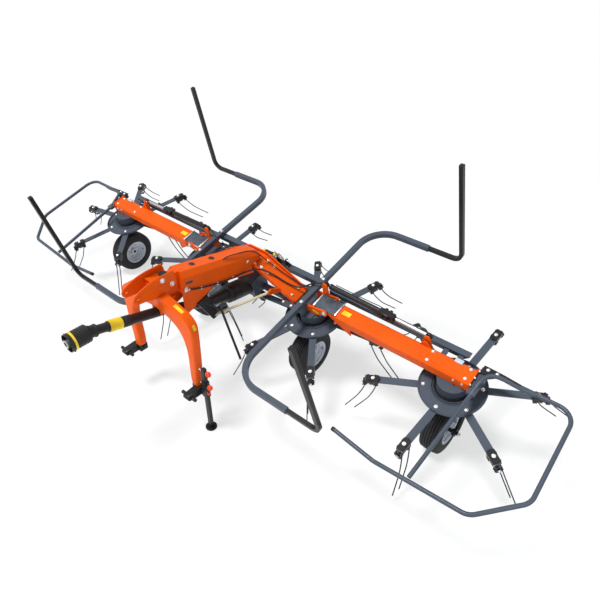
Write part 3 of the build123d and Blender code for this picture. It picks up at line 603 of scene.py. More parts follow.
def dress_rotor(rotor):
    """Roll the beads, bolt the arms and cap each arm with its clamp."""
    name = rotor[0]
    spin = f"spin_{name}"
    axis = tipped((rotor[1] * SPACING, 0, 0))
    rim = turned(mm((235, 15.5), (236.5, 22.5), (239.5, 25), (242.5, 24.8), (244.8, 21.5), (245, 15.5)), 72)
    step = turned(mm((146, 16), (147, 22.5), (150, 24), (153, 22.5), (154.5, 16)), 56)
    fit(joined(rim, step), axis, f"disc_beads_{name}", spin, "slate_paint")
    # Thin black ring sloping up to the step bead: painted shade in the disc's hollow
    fit(turned(mm((114, 15), (147, 21.5), (147, 19.5), (114, 13.5)), 48), axis, f"disc_hollow_shade_{name}", spin,
        "black_paint")
    places = [arm @ facing((0.205, 0, 0.014)) for arm in arms(rotor)]
    bolts(f"arm_bolts_{name}", spin, places, 0.01, 0.007)

    cap = plate(mm((522, -26), (556, -31), (560, -25), (599, -25), (603, -31), (617, -24), (620, 0),
        (617, 24), (603, 31), (599, 25), (560, 25), (556, 31), (522, 26), (514, 0)), 0.006, 0.0015)
    cap = moved(cap, facing((0, 0, 0.0155)))
    cheek = plate(mm((531, 12), (614, 12), (617, -14), (610, -30), (598, -20), (558, -20), (540, -32),
        (527, -14)), 0.005, 0.001)
    cheeks = spread(cheek, [facing((0, out * 0.0265, 0), (0, -1, 0)) for out in (-1, 1)])
    fit(joined(cap, cheeks), arms(rotor), f"tine_clamps_{name}", spin, "black_paint")
    places = [arm @ facing((0.567, 0, 0.0185)) for arm in arms(rotor)]
    bolts(f"clamp_bolts_{name}", spin, places, 0.01, 0.008)


class TEDDER_OT_rotors(bpy.types.Operator):
    """Beads, bolts and black tine clamps of the rotors"""
    bl_idname = "tedder.rotors"
    bl_label = "Rotor fittings"

    def execute(self, context):
        """Dress all four rotors."""
        for rotor in ROTORS:
            dress_rotor(rotor)
        return {"FINISHED"}


class TedderWheels(bpy.types.PropertyGroup):
    """Ribbed tyres and dished rims."""
    radius: size("Tyre radius", "Radius over the ribs", 0.2095)
    width: size("Tyre width", "Width over the side walls", 0.161)
    bead: size("Bead radius", "Radius where the tyre meets the rim", 0.116)
    ribs: number("Ribs", "Ribs running round the tread", 6)
    nuts: number("Wheel nuts", "Nuts round the hub", 5)


class TEDDER_OT_wheels(bpy.types.Operator):
    """Ribbed tyres and dished rims"""
    bl_idname = "tedder.wheels"
    bl_label = "Wheels"

    def execute(self, context):
        """Spin one tyre and one rim, and set a copy on each axle."""
        own = context.scene.tedder_wheels
        half, top = own.width / 2, own.radius
        tread = half * 1.5
        rib = tread / (own.ribs * 1.36 - 0.36)
        groove = rib * 0.36
        wall = [(own.bead + rise, sunk - half)
            for rise, sunk in mm((0, 8), (10, 4), (26, 0), (46, 0), (50, 2), (66, 3))]
        wall.append((top - 0.012, 0.01 - half))
        outer = list(wall)
        for step in range(own.ribs):
            start = -tread / 2 + step * (rib + groove)
            crest = top - 0.006 * abs((start + rib / 2) / (tread / 2)) ** 2
            if step:
                outer += [(crest - 0.008, start - groove * 0.8), (crest - 0.008, start - groove * 0.2)]
            outer += [(crest, start), (crest, start + rib)]
        outer += [(radius, -across) for radius, across in reversed(wall)]
        tyre = turned(outer, 56)
        side = mm((15.8, 48), (30, 48), (34, 44), (34, 20), (62, 18), (66, 30), (80, 33), (84, 48),
            (98, 52), (102, 68), (112, 72), (118, 76.5), (121.5, 74.5), (115.5, 70.5), (114.5, 60))
        rim = turned(doubled(side), 48)
        nuts = spread(bolt(0.0085, 0.008), [facing((x, y, out * 0.0185), (0, 0, out))
            for x, y in around(own.nuts, 0.047) for out in (-1, 1)])
        valve = bar(mm((92, 0, 48), (92, 0, 62), (90, 0, 74)), 0.0035, 6)
        for rotor in ROTORS:
            place = level((rotor[1] * SPACING, *AXLE), (1, 0, 0), (0, 1, 0))
            for source, name, finish, edge in (
                (tyre, "ribbed_tyre", "tyre_rubber", 28), (rim, "dished_rim", "rim_paint", SMOOTH),
                (nuts, "wheel_nuts", "zinc", SMOOTH), (valve, "valve", "black_plastic", SMOOTH),
            ):
                made = fit(twin(source), place, f"{name}_{rotor[0]}", f"wheel_{rotor[0]}", finish, edge)
                if source is tyre:
                    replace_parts(made, f"tyre_{rotor[0]}")
                if source is rim:
                    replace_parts(made, f"rim_{rotor[0]}")
        for source in (tyre, rim, nuts, valve):
            bpy.data.objects.remove(source)
        for body, stations in (
            ("frame", ((-0.5, 1), (0.5, -1))), ("arm_left", ((-1.5, -1),)), ("arm_right", ((1.5, 1),)),
        ):
            ends = [level((place * SPACING + out * 0.138, *AXLE), (out, 0, 0)) for place, out in stations]
            bolts(f"axle_nuts_{body}", body, ends, 0.014, 0.01)
            feet = [tipped((place * SPACING + x, y, -0.118), (0, 0, -1))
                for place, _ in stations for x, y in around(4, 0.043, pi / 4)]
            bolts(f"foot_bolts_{body}", body, feet, 0.007, 0.005)
        return {"FINISHED"}


class TedderCover(bpy.types.PropertyGroup):
    """Flexible covers over the arm hinges."""
    start: size("Start", "Inner edge from the middle of the machine", 0.680)
    end: size("End", "Outer edge from the middle of the machine", 0.903)
    width: size("Width", "Width across the beam", 0.134)


def cover_hinge(context, side, sign):
    """Lay a crowned sheet over a hinge and clamp its ends."""
    own = context.scene.tedder_cover
    long = own.end - own.start
    rest()
    bpy.ops.mesh.primitive_grid_add(x_subdivisions=16, y_subdivisions=6, size=1)
    sheet = context.object
    for vertex in sheet.data.vertices:
        along, across = vertex.co.x + 0.5, vertex.co.y
        crown = 0.004 * (1 - (2 * along - 1) ** 2) * (1 - (2 * across) ** 2)
        droop = 0.006 * abs(2 * across) ** 8 * (1 - (2 * along - 1) ** 4)
        vertex.co = (sign * (own.start + along * long), 0.04 + across * own.width, 0.1908 + crown - droop)
    edit()
    outward()
    harden(sheet, "SOLIDIFY", thickness=0.003, offset=sign)
    sheet = moved(sheet, LEAN)
    sheet.name = f"hinge_cover_{side}"
    sheet.data.materials.append(finishes()["cover_rubber"])
    bpy.ops.object.shade_smooth_by_angle(angle=radians(40))
    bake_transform(sheet)
    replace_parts(sheet, f"inner_cover_{side}", f"outer_cover_{side}")
    for where, body, x in (
        ("inner", "frame", own.start + 0.006), ("outer", f"arm_{side}", own.end - 0.006),
    ):
        fit(block(0.012, own.width + 0.006, 0.004, 0.001), tipped((sign * x, 0.04, 0.1955)),
            f"clamp_strip_{where}_{side}", body, "zinc")


class TEDDER_OT_hinge_covers(bpy.types.Operator):
    """Flexible covers over the arm hinges, clamped at both ends"""
    bl_idname = "tedder.hinge_covers"
    bl_label = "Hinge covers"

    def execute(self, context):
        """Cover both hinges."""
        for side, sign in SIDES:
            cover_hinge(context, side, sign)
        return {"FINISHED"}


def dress_beam(side, sign):
    """Fit one side's outer beam, hinge bracket and deck plate."""
    arm = f"arm_{side}"
    places = [tipped((sign * x, y, 0.19)) for x, y in mm((1992, -2), (1992, 84), (1700, -4), (1700, 80))]
    places += [tipped((sign * 2.04, y, z), (sign, 0, 0)) for y in (-0.024, 0.04, 0.104)
        for z in (0.106, 0.184)]
    places += [tipped((sign * x, -0.03, 0.148), (0, -1, 0)) for x in (1.985, 1.92)]
    bolts(f"beam_bolts_{side}", arm, places, 0.0085, 0.007)
    fit(plate(mm((-38, -20), (38, -20), (38, 20), (-38, 20)), 0.0008, 0.0002),
        tipped((sign * 0.968, 0.036, 0.1906)), f"beam_label_{side}", arm, "label")
    fit(block(0.06, 0.036, 0.01), tipped((sign * 1.895, 0.098, 0.196)), f"beam_pad_{side}", arm,
        "rim_paint")
    fit(turned(mm((0, -22), (10, -22), (12, -18), (12, 16), (17, 16), (17, 22), (0, 22)), 20),
        tipped((sign * 1.63, 0.133, 0.25), (0, 1, 0)), f"ram_pin_{side}", arm, "zinc")
    for name, wide, narrow, high, place, finish in (
        ("ram_lug_rib", 0.045, 0.012, 0.052, (sign * 1.63, 0.094, 0.19), "orange_paint"),
        ("channel_lug", 0.06, 0.014, 0.062, (sign * 1.545, 0.212, 0.15), "slate_paint"),
    ):
        fit(plate([(-wide, 0), (wide, 0), (narrow, high), (-narrow, high)], 0.008, 0.001),
            tipped(place, (0, -1, 0)), f"{name}_{side}", arm, finish)
    places = [tipped((sign * 0.8, y, 0.175), (0, out, 0)) for y, out in ((-0.048, -1), (0.128, 1))]
    bolts(f"hinge_pin_heads_{side}", "frame", places, 0.017, 0.009)
    fit(plate(mm((-30, -10), (30, -18), (30, 4), (-30, 12)), 0.0008, 0.0002),
        tipped((sign * 0.715, -0.0485, 0.15), (0, -1, 0)), f"bracket_label_{side}", "frame", "label")
    places = [tipped((sign * x, y, 0.105)) for x, y in mm((385, -78), (385, 142), (470, -78), (560, -78),
        (560, 142))]
    fall, top, start = 0.6026, 0.353, 0.086             # sloping arch: fall, height and start of its line
    places += [tipped((sign * x, y, top - fall * (x - start)), (sign * 0.516, 0, 0.8565))
        for x in (0.135, 0.195, 0.43) for y in (-0.008, 0.078)]
    bolts(f"frame_bolts_{side}", "frame", places, 0.01, 0.008)


class TEDDER_OT_beams(bpy.types.Operator):
    """Bolts, blank labels, pins and lugs of the beams"""
    bl_idname = "tedder.beams"
    bl_label = "Beam fittings"

    def execute(self, context):
        """Dress both sides."""
        for side, sign in SIDES:
            dress_beam(side, sign)
        return {"FINISHED"}


def dress_ram(side, sign):
    """Fit one cylinder's collars, valve block, pipes and eye."""
    inner, outer = Vector((sign * 0.7, 0.144, 0.28)), Vector((sign * 1.63, 0.144, 0.25))
    along = tipped(inner, outer - inner, (0, 1, 0))
    barrel = f"barrel_{side}"
    gland = turned(mm((13.5, 622), (23.5, 622), (25.5, 626), (25.5, 634), (19.5, 638), (19.5, 646),
        (16.5, 649), (13.5, 649)), 28)
    base = turned(mm((22.2, 40), (24.5, 42), (24.5, 52), (22.2, 56)), 28)
    band = turned(mm((22.2, 300), (23.8, 302), (23.8, 314), (22.2, 316)), 28)
    fit(joined(gland, base, band), along, f"ram_collars_{side}", barrel, "black_paint")
    valve = bored(block(0.058, 0.05, 0.08, 0.004), 0.0205)
    cap = turned(mm((0, 0), (13, 0), (13, 16), (9, 20), (0, 20)), 16)
    caps = spread(cap, [facing((out * 0.03, 0, z), (out, 0, 0)) for out in (-1, 1) for z in (-0.02, 0.02)])
    fit(joined(valve, caps), along @ facing((0, 0, 0.565)), f"valve_block_{side}", barrel, "black_paint")
    places = [along @ facing(spot, way) for spot, way in (((0, -sign * 0.026, 0.545), (0, -sign, 0)),
        ((0, -sign * 0.026, 0.585), (0, -sign, 0)), ((0.029, -0.012, 0.525), (1, 0, 0)))]
    bolts(f"valve_unions_{side}", barrel, places, 0.009, 0.01)
    feed = bar([(0, -sign * high, z) for high, z in mm((34, 585), (78, 585), (84, 545), (50, 490),
        (34, 420), (31, 200), (31, 90))], 0.005)
    fit(feed, along, f"ram_feed_{side}", barrel, "black_paint")
    fit(bar(mm((30, 10, 520), (34, 12, 480), (28, 12, 420), (27, 12, 80)), 0.004, 6), along,
        f"ram_pipe_{side}", barrel, "slate_paint")
    eye = turned(doubled(mm((13.5, -12.5), (24, -12.5), (27.5, -8))), 28)
    fit(eye, tipped(outer, (0, 1, 0)), f"rod_eye_{side}", f"rod_{side}", "black_paint")


class TEDDER_OT_rams(bpy.types.Operator):
    """Glands, port blocks and pipes of the folding cylinders"""
    bl_idname = "tedder.rams"
    bl_label = "Folding cylinder fittings"

    def execute(self, context):
        """Dress both cylinders."""
        for side, sign in SIDES:
            dress_ram(side, sign)
        return {"FINISHED"}


class TEDDER_OT_boom(bpy.types.Operator):
    """Plugs, side plates and bolts of the boom"""
    bl_idname = "tedder.boom"
    bl_label = "Boom fittings"

    def execute(self, context):
        """Press in the plugs and bolt the side plates and the arch."""
        run, drop = 0.716, -0.148
        plug = turned(mm((0, 0), (22, 0), (24.5, 2), (22, 5), (15, 3.5), (0, 3)))
        places = [level((0, y, 1.172 + (y + 0.846) * drop / run), (0, -drop, run), (0, run, drop))
            for y in (-0.692, -0.5)]
        fit(plug, places, "boom_plugs", "frame", "black_plastic")
        slot_plate = plate(mm((-34, -10), (26, -12), (36, 2), (30, 12), (-36, 8)), 0.003, 0.001)
        places = [level((out * 0.0885, -0.8, 1.07), (out, 0, 0), (0, 0.97, -0.22)) for out in (-1, 1)]
        fit(slot_plate, places, "boom_side_plates", "frame", "slate_paint")
        places = [level((out * 0.0885, y, z), (out, 0, 0)) for out in (-1, 1)
            for y, z in mm((-835, 1030), (-200, 960), (-120, 900))]
        bolts("boom_bolts", "frame", places, 0.011, 0.008)
        return {"FINISHED"}


class TedderBellows(bpy.types.PropertyGroup):
    """Ribbed cover of the drive joint."""
    ribs: number("Ribs", "Folds along the front half of the cover", 3)
    deep: size("Depth", "Height of each fold", 0.006)
    wide: size("Radius", "Radius of the plain rear half", 0.080)


class TEDDER_OT_drive(bpy.types.Operator):
    """Ribbed drive cover under the boom"""
    bl_idname = "tedder.drive"
    bl_label = "Drive cover"

    def execute(self, context):
        """Spin the ribbed cover, the front tube and the joint's ball."""
        own = context.scene.tedder_bellows
        front, joint, rear = Vector((0, -0.955, 0.872)), Vector((0, -0.6, 0.722)), Vector((0, -0.11, 0.652))
        long, run = (rear - joint).length, (joint - front).length
        fold = long * 0.42
        outer = []
        for step in range(own.ribs * 2 + 1):
            share = step / (own.ribs * 2)
            radius = 0.046 + 0.016 * share
            outer.append((radius if step % 2 else radius - own.deep, 0.05 + (fold - 0.05) * share))
        outer += [(own.wide - under, fold + past)
            for under, past in mm((10, 6), (2, 14), (2, 34), (6, 37), (6, 45), (0, 49))]
        outer += [(own.wide - under, long - left) for under, left in mm((0, 40), (6, 18), (20, 4))]
        made = turned([(0.03, 0.05), *outer, (0.03, long)], 40)
        bell = turned(mm((36, -30), (46, -26), (46.5, 20), (41, 50), (30, 52)), 36)
        cover = moved(joined(made, bell), level(joint, rear - joint, (0, 1, 0)))
        tube = turned([(0.02, -0.005), (0.036, 0), (0.037, 0.004), (0.037, run * 0.42), (0.033, run * 0.44),
            (0.033, run * 0.9), (0.045, run * 0.93), (0.045, run), (0.02, run)], 36)
        ball = turned(mm((0, -38), (22, -33), (36, -18), (39.5, 0), (36, 18), (22, 33), (0, 38)))
        ahead = moved(joined(tube, ball), level(front, joint - front, (0, 1, 0)))
        settled = settle(joined(cover, ahead), "ribbed_drive_cover", "frame", "black_plastic", 30)
        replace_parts(settled, "drive_bellows")
        return {"FINISHED"}


class TEDDER_OT_shaft(bpy.types.Operator):
    """Drive shaft guard with its yellow bands and the splined yoke"""
    bl_idname = "tedder.shaft"
    bl_label = "Drive shaft"

    def execute(self, context):
        """Dress the guard and the yoke."""
        body = "headstock_body"
        start, end = Vector((0, -1.6, 1.046)), Vector((0, -1.01, 0.88883))
        along = level(start, end - start)
        bell = level((0, -1.75, 1.046), (0, 1, 0))
        run = (end - start).length
        tube = mm((16, 0), (46, 0), (46, 10), (43, 13), (43, 44), (46, 47), (46, 56), (38, 62), (33.5, 70),
            (33.5, 144), (38.5, 147), (38.5, 262), (40.5, 266), (40.5, 330), (38, 336))
        tube = turned([*tube, (0.038, run), (0.016, run)], 40)
        outer = mm((61, 0), (65.5, 0))
        for at in (0.046, 0.066, 0.086, 0.106, 0.126):
            outer += [(0.0655, at), (0.062, at + 0.003), (0.062, at + 0.009), (0.0655, at + 0.012)]
        outer += mm((65.5, 142), (60, 150), (16, 150), (16, 145), (58, 145), (61, 141))
        cone = turned(outer, 44)
        guard = settle(joined(moved(tube, along), moved(cone, bell)), "ribbed_shaft_guard", body,
            "black_plastic", 30)
        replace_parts(guard, "shaft_guard")
        tabs = [bell @ Matrix.Rotation(radians(turn), 4, "Z") @ facing((0.0655, 0, 0.02))
            for turn in (50, 90, 130, 170, 210)]
        fit(block(0.012, 0.022, 0.008), tabs, "bell_tabs", body, "black_plastic")
        cuff = turned(mm((38, 154), (43.2, 156), (43.6, 160), (43.6, 246), (43.2, 250), (38, 252)), 40)
        hoop = turned(mm((64, 26), (66.8, 28), (66.8, 42), (64, 44)), 44)
        settle(joined(moved(cuff, along), moved(hoop, bell)), "yellow_bands", body, "label")
        collar = turned(mm((30, 52), (34.5, 54), (34.5, 74), (30, 76)), 24)
        ears = spread(block(0.016, 0.02, 0.03, 0.003), [facing((out * 0.026, 0, 0.096)) for out in (-1, 1)])
        fit(joined(collar, ears), level((0, -1.761, 1.046), (0, 1, 0)), "yoke_collar", "yoke_body",
            "bright_steel")
        return {"FINISHED"}


class TEDDER_OT_headstock(bpy.types.Operator):
    """Shoulders, cheeks, link brackets, blank labels and stand of the headstock"""
    bl_idname = "tedder.headstock"
    bl_label = "Headstock fittings"

    def execute(self, context):
        """Shape the headstock and fit its lower link pins and its stand."""
        body = "headstock_body"
        pick(frame["nodes"]["headstock"])
        bpy.ops.object.duplicate()
        casting = context.object
        edit()
        bpy.ops.mesh.remove_doubles(threshold=MERGE)
        leave()
        shoulders = []
        middle, height, radius = 0.269, 0.89, 0.14      # circle that the shoulders follow
        for _, sign in SIDES:
            pick(casting)
            bpy.ops.object.duplicate()
            cuts = [((sign * 0.073, 0, 0), (-sign, 0, 0))]
            for lean in (15, 25, 35, 45, 55, 65, 75):
                out, up = sign * sin(radians(lean)), cos(radians(lean))
                cuts.append(((sign * middle + radius * out, 0, height + radius * up), (out, 0, up)))
            shoulders.append(harden(trimmed(context.object, cuts), "BEVEL", width=0.014, segments=3,
                limit_method="ANGLE", angle_limit=radians(50)))
        trimmed(casting, [((0, ROTOR_LINE - 1.08, 0), (0, -1, 0)), ((0, 0, 1.2205), (0, 0, 1)),
            ((0.075, 0, 0), (1, 0, 0)), ((-0.075, 0, 0), (-1, 0, 0))])
        outline = mm((-1262, 1120), (-1264, 1140), (-1258, 1160), (-1240, 1176), (-1196, 1193),
            (-1126, 1214), (-1060, 1221), (-980, 1222), (-912, 1219), (-899, 1180), (-899, 1108),
            (-990, 1064), (-1060, 1062), (-1110, 1074), (-1160, 1090), (-1210, 1096), (-1245, 1102))
        cheek = bored(plate(outline, 0.012, 0.0015), 0.0128, (*TOP_PIN, 0))
        lip = bar([(y, z, 0) for y, z in outline[1:9]], 0.0055)
        boss = turned(mm((12.8, 0), (22, 0), (24, 2), (22, 4), (12.8, 4)), 28)
        bosses = spread(boss, [facing((*TOP_PIN, out * 0.0055), (0, 0, out)) for out in (1, -1)])
        cheeks = spread(joined(cheek, lip, bosses),
            [level((out * 0.067, 0, 0), (1, 0, 0), (0, 1, 0)) for out in (-1, 1)])
        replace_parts(settle(joined(casting, *shoulders, cheeks), "shaped_headstock", body, "orange_paint"),
                    "headstock")
        places = [level((out * 0.073, y, z), (out, 0, 0)) for out in (-1, 1)
            for y, z in mm((-938, 1126), (-1015, 1190))]
        bolts("cheek_bolts", body, places, 0.014, 0.01)
        fit(turned(mm((0, 0), (30, 0), (33, 3), (30, 8), (0, 10)), 28), level((0, -0.955, 1.184)),
            "pivot_cap", body, "black_paint")
        tag = plate(mm((-24, -12), (12, -12), (22, 0), (12, 12), (-24, 12)), 0.0016, 0.0003)
        tag = moved(tag, level((0.3972, -1.038, 0.9512), (0.906, 0, 0.423), (-0.423, 0, 0.906)))
        label = plate(mm((-46, -14), (46, -14), (46, 14), (-46, 14)), 0.0016, 0.0003)
        label = moved(label, level((0.25, -1.038, 1.0405), (0.259, 0, 0.966), (0.966, 0, -0.259)))
        settle(joined(tag, label), "leg_labels", body, "label")
        links = []
        beside = ((1, 0, 0), (0, 1, 0))
        for side, sign in SIDES:
            arm = plate(mm((-1000, 330), (-1000, 395), (-1085, 395), (-1180, 386), (-1191, 378),
                (-1195, 364), (-1191, 350), (-1180, 341), (-1120, 331)), 0.064, 0.003)
            sock = plate(mm((-1004, 330), (-1004, 395), (-1076, 395), (-1076, 330)), 0.064, 0.003)
            pin = turned(doubled(mm((0, -77), (11, -77), (13.8, -74), (13.8, -36), (19, -36))), 24)
            links += [
                moved(arm, level((sign * 0.385, 0, 0), *beside)),
                moved(sock, level((sign * 0.356, 0, 0), *beside)),
                moved(pin, level((sign * 0.385, -1.161, 0.363), (1, 0, 0))),
            ]
            end = turned(mm((0, 0), (20, 0), (22, 3), (22, 6), (0, 8)), 24)
            places = [level((sign * at, -1.03, 0.362), (way * sign, 0, 0))
                for at, way in ((0.417, 1), (0.324, -1))]
            fit(end, places, f"link_bosses_{side}", body, "black_paint")
        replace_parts(settle(joined(*links), "shaped_link_brackets", body, "black_paint"), "link_brackets")

        stand_x, stand_y = STAND
        for name, z, holder in (("upper", 0.592, "stand_body"), ("lower", 0.458, body)):
            fit(turned(mm((0, -9), (14, -11), (21, -6), (23, 0), (21, 6), (14, 11), (0, 9)), 20),
                level((stand_x + 0.046, stand_y, z), (0.35, -0.9, 0.3)), f"stand_grip_{name}", holder,
                "red")
            fit(turned(mm((0, -50), (6, -50), (6, 34), (0, 34)), 12), level((*STAND, z), (1, 0, 0)),
                f"stand_pin_{name}", holder, "zinc")
        strap = bar([(stand_x + x, y, z) for x, y, z in mm((50, -1066, 448), (58, -1072, 425),
            (50, -1076, 400), (30, -1078, 392), (22, -1074, 410))], 0.0045)
        fit(strap, LEVEL, "stand_strap", body, "red")
        # Thin black rings at the stand's pin holes: painted shade that darkens the holes
        holes = [level((stand_x + out * 0.0151, stand_y, z), (out, 0, 0)) for out in (-1, 1)
            for z in (0.128, 0.208, 0.288, 0.556, 0.6)]
        fit(turned(mm((6.4, 0), (8.4, 0), (8.4, 0.6), (6.4, 0.6)), 16), holes, "stand_hole_shade", "stand_body",
            "black_plastic")
        fit(block(0.032, 0.032, 0.008), level((*STAND, 0.6165)), "stand_cap", "stand_body", "black_plastic")
        return {"FINISHED"}


def dress_guard(side, sign):
    """Fit one side's sleeve lips, caps, bolts and bent stay."""
    arm = f"arm_{side}"
    lips = [tipped((sign * 1.1425, y, 0.21)) for y in RAILS]
    fit(block(0.005, 0.0416, 0.0416, 0.0015), lips, f"guard_lips_{side}", "frame", "slate_paint")
    places = [tipped((sign * x, y, 0.189), (0, 0, -1)) for y in RAILS for x in (1.035, 1.115)]
    bolts(f"sleeve_bolts_{side}", "frame", places, 0.008, 0.007)
    top = [tipped((sign * 1.401, y, 1.1095), (-sign * 0.046, 0, 1)) for y in RAILS]
    fit(block(0.0334, 0.0334, 0.014, 0.003), top, f"guard_caps_{side}", "frame", "black_plastic")
    places = [tipped((sign * 0.606, y, 0.231)) for y in (-0.075, 0.212)]
    bolts(f"rail_bolts_{side}", "frame", places, 0.01, 0.008)
    fork = mm((2047, 98), (2047, 174), (2180, 170), (2315, 158), (2315, 142), (2150, 120))
    fit(plate(mirrored(sign, fork), 0.012, 0.002), tipped((0, 0, 0.1715)), f"hoop_fork_{side}", arm,
        "black_paint")
    places = [tipped((sign * x, 0.148, 0.1775)) for x in (2.085, 2.15)]
    bolts(f"hoop_bolts_{side}", arm, places, 0.009, 0.007)
    bend = mm((2073.5, -90, 148.4), (2076, -40, 160), (2084, 30, 186), (2110, 105, 193),
        (2180, 128, 190), (2270, 130, 177), (2360, 134, 166), (2420, 143, 164))
    fit(bar(mirrored(sign, bend), 0.0145, 12), LEAN, f"hoop_stay_bend_{side}", arm, "slate_paint")
    end = turned(mm((0, -4), (14.5, -4), (15.8, 0), (15.8, 20), (0, 20)), 16)
    first, second = Vector((sign * 1.439, -0.78, 0.11)), Vector((sign * 1.789, -0.807, 0.082))
    fit(end, tipped(first, second - first, (0, 0, 1)), f"hoop_end_cap_{side}", arm, "black_plastic")


class TEDDER_OT_guards(bpy.types.Operator):
    """Lips, bolts and caps of the guard rails, and the stays of the hoops"""
    bl_idname = "tedder.guards"
    bl_label = "Guard fittings"

    def execute(self, context):
        """Dress the guards of both sides."""
        for side, sign in SIDES:
            dress_guard(side, sign)
        return {"FINISHED"}


class TEDDER_OT_latch(bpy.types.Operator):
    """Grip, levers and parking bar on the crossbar"""
    bl_idname = "tedder.latch"
    bl_label = "Latch"

    def execute(self, context):
        """Stand the latch levers on the crossbar."""
        foot = moved(block(0.15, 0.046, 0.012), tipped((0.155, 0.212, 0.195)))
        ears = spread(plate(mm((-22, 0), (22, 0), (14, 62), (-14, 62)), 0.006, 0.001),
            [tipped((x, 0.212, 0.2), (1, 0, 0), (0, 1, 0)) for x in (0.105, 0.205)])
        settle(joined(foot, ears), "latch_bracket", "frame", "black_paint")
        fit(bar(mm((80, 212, 248), (240, 212, 248)), 0.007, smooth=False), LEAN, "latch_shaft", "frame",
            "zinc")
        levers = joined(*[bar([(x, 0.212, 0.24), (x + 0.004, 0.2, 0.285), (x - 0.02, 0.186, 0.33)], 0.006)
            for x in (0.13, 0.175)])
        fit(levers, LEAN, "latch_levers", "frame", "rim_paint")
        fit(turned(mm((0, -68), (12, -66), (15, -40), (13, 0), (15, 40), (12, 60), (0, 62)), 16),
            tipped((0.052, 0.186, 0.29), (1, 0, 0.05)), "latch_grip", "frame", "black_plastic")
        tip = turned(mm((0, 0), (13.5, 0), (15.5, 4), (15.5, 20), (13.5, 24), (0, 24)), 16)
        places = [tipped((x, 0.186, z), (1, 0, 0.05)) for x, z in mm((-22, 286.5), (96, 292))]
        fit(tip, places, "latch_grip_bands", "frame", "label")
        fit(bar(mm((52, 186, 288), (76, 200, 262), (98, 212, 248)), 0.006), LEAN, "latch_stem", "frame",
            "black_paint")
        return {"FINISHED"}


def lay_hoses(side, sign):
    """Run a clipped hose and a thin pipe down one side."""
    route = [LEVEL @ Vector(spot) for spot in mirrored(sign, mm((97, -830, 1020), (98, -730, 980),
        (98, -560, 930), (98, -380, 895), (104, -230, 890)))]
    route += [LEAN @ Vector(spot) for spot in mirrored(sign, mm((150, -40, 345), (240, 10, 278),
        (340, 30, 216), (430, 60, 172), (500, 85, 200), (570, 110, 252), (640, 140, 272), (675, 148, 272)))]
    settle(bar(route, 0.0065, 10), f"boom_hose_{side}", "frame", "black_plastic")
    fit(turned(mm((0, -30), (10, -30), (12, -26), (12, 0), (9, 4), (9, 20), (0, 20)), 16),
        level((sign * 0.097, -0.832, 1.0205), (0, 1, -0.25)), f"hose_plug_{side}", "frame", "zinc")
    line = [LEVEL @ Vector(spot) for spot in mirrored(sign, mm((60, -470, 1060), (60, -430, 1096),
        (66, -300, 1072), (78, -150, 1042)))]
    line += [LEAN @ Vector(spot) for spot in mirrored(sign, mm((105, 30, 430), (130, 60, 350),
        (230, 75, 285), (330, 90, 224), (430, 110, 168), (505, 130, 160), (560, 150, 172)))]
    settle(bar(line, 0.0045), f"arch_pipe_{side}", "frame", "black_plastic")
    places = [level((sign * 0.094, y, z)) for y, z in mm((-700, 971), (-540, 926), (-380, 898))]
    fit(block(0.012, 0.018, 0.026, 0.003), places, f"hose_clips_{side}", "frame", "zinc")


class TEDDER_OT_hoses(bpy.types.Operator):
    """Hoses along the boom and down the arch"""
    bl_idname = "tedder.hoses"
    bl_label = "Clipped hoses"

    def execute(self, context):
        """Lay the hoses of both sides."""
        for side, sign in SIDES:
            lay_hoses(side, sign)
        return {"FINISHED"}


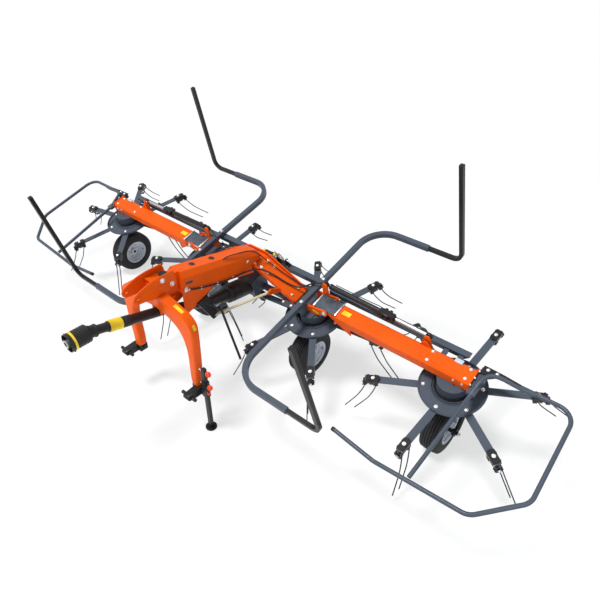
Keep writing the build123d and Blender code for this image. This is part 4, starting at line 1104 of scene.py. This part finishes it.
class TEDDER_OT_stage(bpy.types.Operator):
    """Pale floor, soft lights and the camera"""
    bl_idname = "tedder.stage"
    bl_label = "Studio"

    def execute(self, context):
        """Build the floor, the lights, the world and the camera."""
        rest()
        bpy.ops.mesh.primitive_plane_add(size=60, location=(0, 0, -0.0005))
        floor = context.object
        floor.name = "studio_floor"
        material, tree, shader = new_material("floor_paper")
        cloud = mix(tree, noise(tree, 0.6, 2.0), (0.86, 0.86, 0.87), (0.88, 0.88, 0.88))
        give(tree, shader, Base_Color=cloud, Roughness=0.9, Specular_IOR_Level=0.1)
        glow = node(tree, "ShaderNodeEmission", Color=(1, 1, 1, 1), Strength=1.0)
        share = node(tree, "ShaderNodeMath", Value=background_rays(tree))
        share.operation = "MULTIPLY"
        share.inputs[1].default_value = 0.62
        shown(tree, share.outputs[0], shader, glow, "Material Output")
        floor.data.materials.append(material)

        world = bpy.data.worlds.new("studio_air")
        world.use_nodes = True
        context.scene.world = world
        air = world.node_tree
        back = give(air, air.nodes["Background"], Color=(0.90, 0.95, 1.0, 1), Strength=0.32)
        white = node(air, "ShaderNodeBackground", Strength=1.0)
        shown(air, background_rays(air), back, white, "World Output")

        bpy.ops.object.light_add(type="SUN", rotation=(radians(16), radians(-14), 0))
        sky = context.object
        sky.name = "high_light"
        sky.data.energy = 2.9
        sky.data.angle = radians(16)
        for name, place, power in (
            ("front_light", (-2.5, -5.5, 3.5), 105.0),
            ("side_light", (6.5, -2.5, 3.5), 85.0),
        ):
            bpy.ops.object.light_add(type="AREA", location=place)
            lamp = context.object
            lamp.name = name
            lamp.data.size = 4.0
            lamp.data.energy = power
            lamp.rotation_euler = (-Vector(place)).to_track_quat("-Z", "Y").to_euler()

        turn, height = radians(40.6504), radians(36.5085)
        bpy.ops.object.camera_add(
            location=(2.91875, -2.842088 + ROTOR_LINE, 3.41924), rotation=(pi / 2 - height, 0, turn))
        camera = context.object
        camera.name = "studio_camera"
        camera.data.lens = 33.527
        camera.data.sensor_width = 36
        context.scene.camera = camera
        context.scene.view_settings.view_transform = "Standard"
        return {"FINISHED"}


class TEDDER_PT_panel(bpy.types.Panel):
    """The machine's sizes and colours, and a button for each group of pieces"""
    bl_idname = "TEDDER_PT_panel"
    bl_label = "Hay Tedder"
    bl_space_type = "VIEW_3D"
    bl_region_type = "UI"
    bl_category = "Hay Tedder"

    def draw(self, context):
        """Show the sizes, the colours and one button for each operator."""
        for attribute, group in GROUPS:
            for name in group.__annotations__:
                self.layout.prop(getattr(context.scene, attribute), name)
        for operator in STEPS:
            self.layout.operator(operator.bl_idname)


GROUPS = (
    ("tedder_colours", TedderColours),
    ("tedder_tines", TedderTines),
    ("tedder_wheels", TedderWheels),
    ("tedder_cover", TedderCover),
    ("tedder_bellows", TedderBellows),
)
STEPS = (
    TEDDER_OT_stage,
    TEDDER_OT_paint_solids,
    TEDDER_OT_tines,
    TEDDER_OT_rotors,
    TEDDER_OT_wheels,
    TEDDER_OT_hinge_covers,
    TEDDER_OT_beams,
    TEDDER_OT_rams,
    TEDDER_OT_boom,
    TEDDER_OT_drive,
    TEDDER_OT_shaft,
    TEDDER_OT_headstock,
    TEDDER_OT_guards,
    TEDDER_OT_latch,
    TEDDER_OT_hoses,
)
CLASSES = (*[group for _, group in GROUPS], *STEPS, TEDDER_PT_panel)


def register():
    """Make the classes and the sidebar's settings known."""
    for cls in CLASSES:
        bpy.utils.register_class(cls)
    for attribute, group in GROUPS:
        setattr(bpy.types.Scene, attribute, bpy.props.PointerProperty(type=group))


def unregister():
    """Take the settings and classes away again."""
    for attribute, _ in reversed(GROUPS):
        delattr(bpy.types.Scene, attribute)
    for cls in reversed(CLASSES):
        bpy.utils.unregister_class(cls)


def main():
    """Run every step in order."""
    register()
    for operator in STEPS:
        group, name = operator.bl_idname.split(".")
        getattr(getattr(bpy.ops, group), name)()


if __name__ == "__main__":
    main()
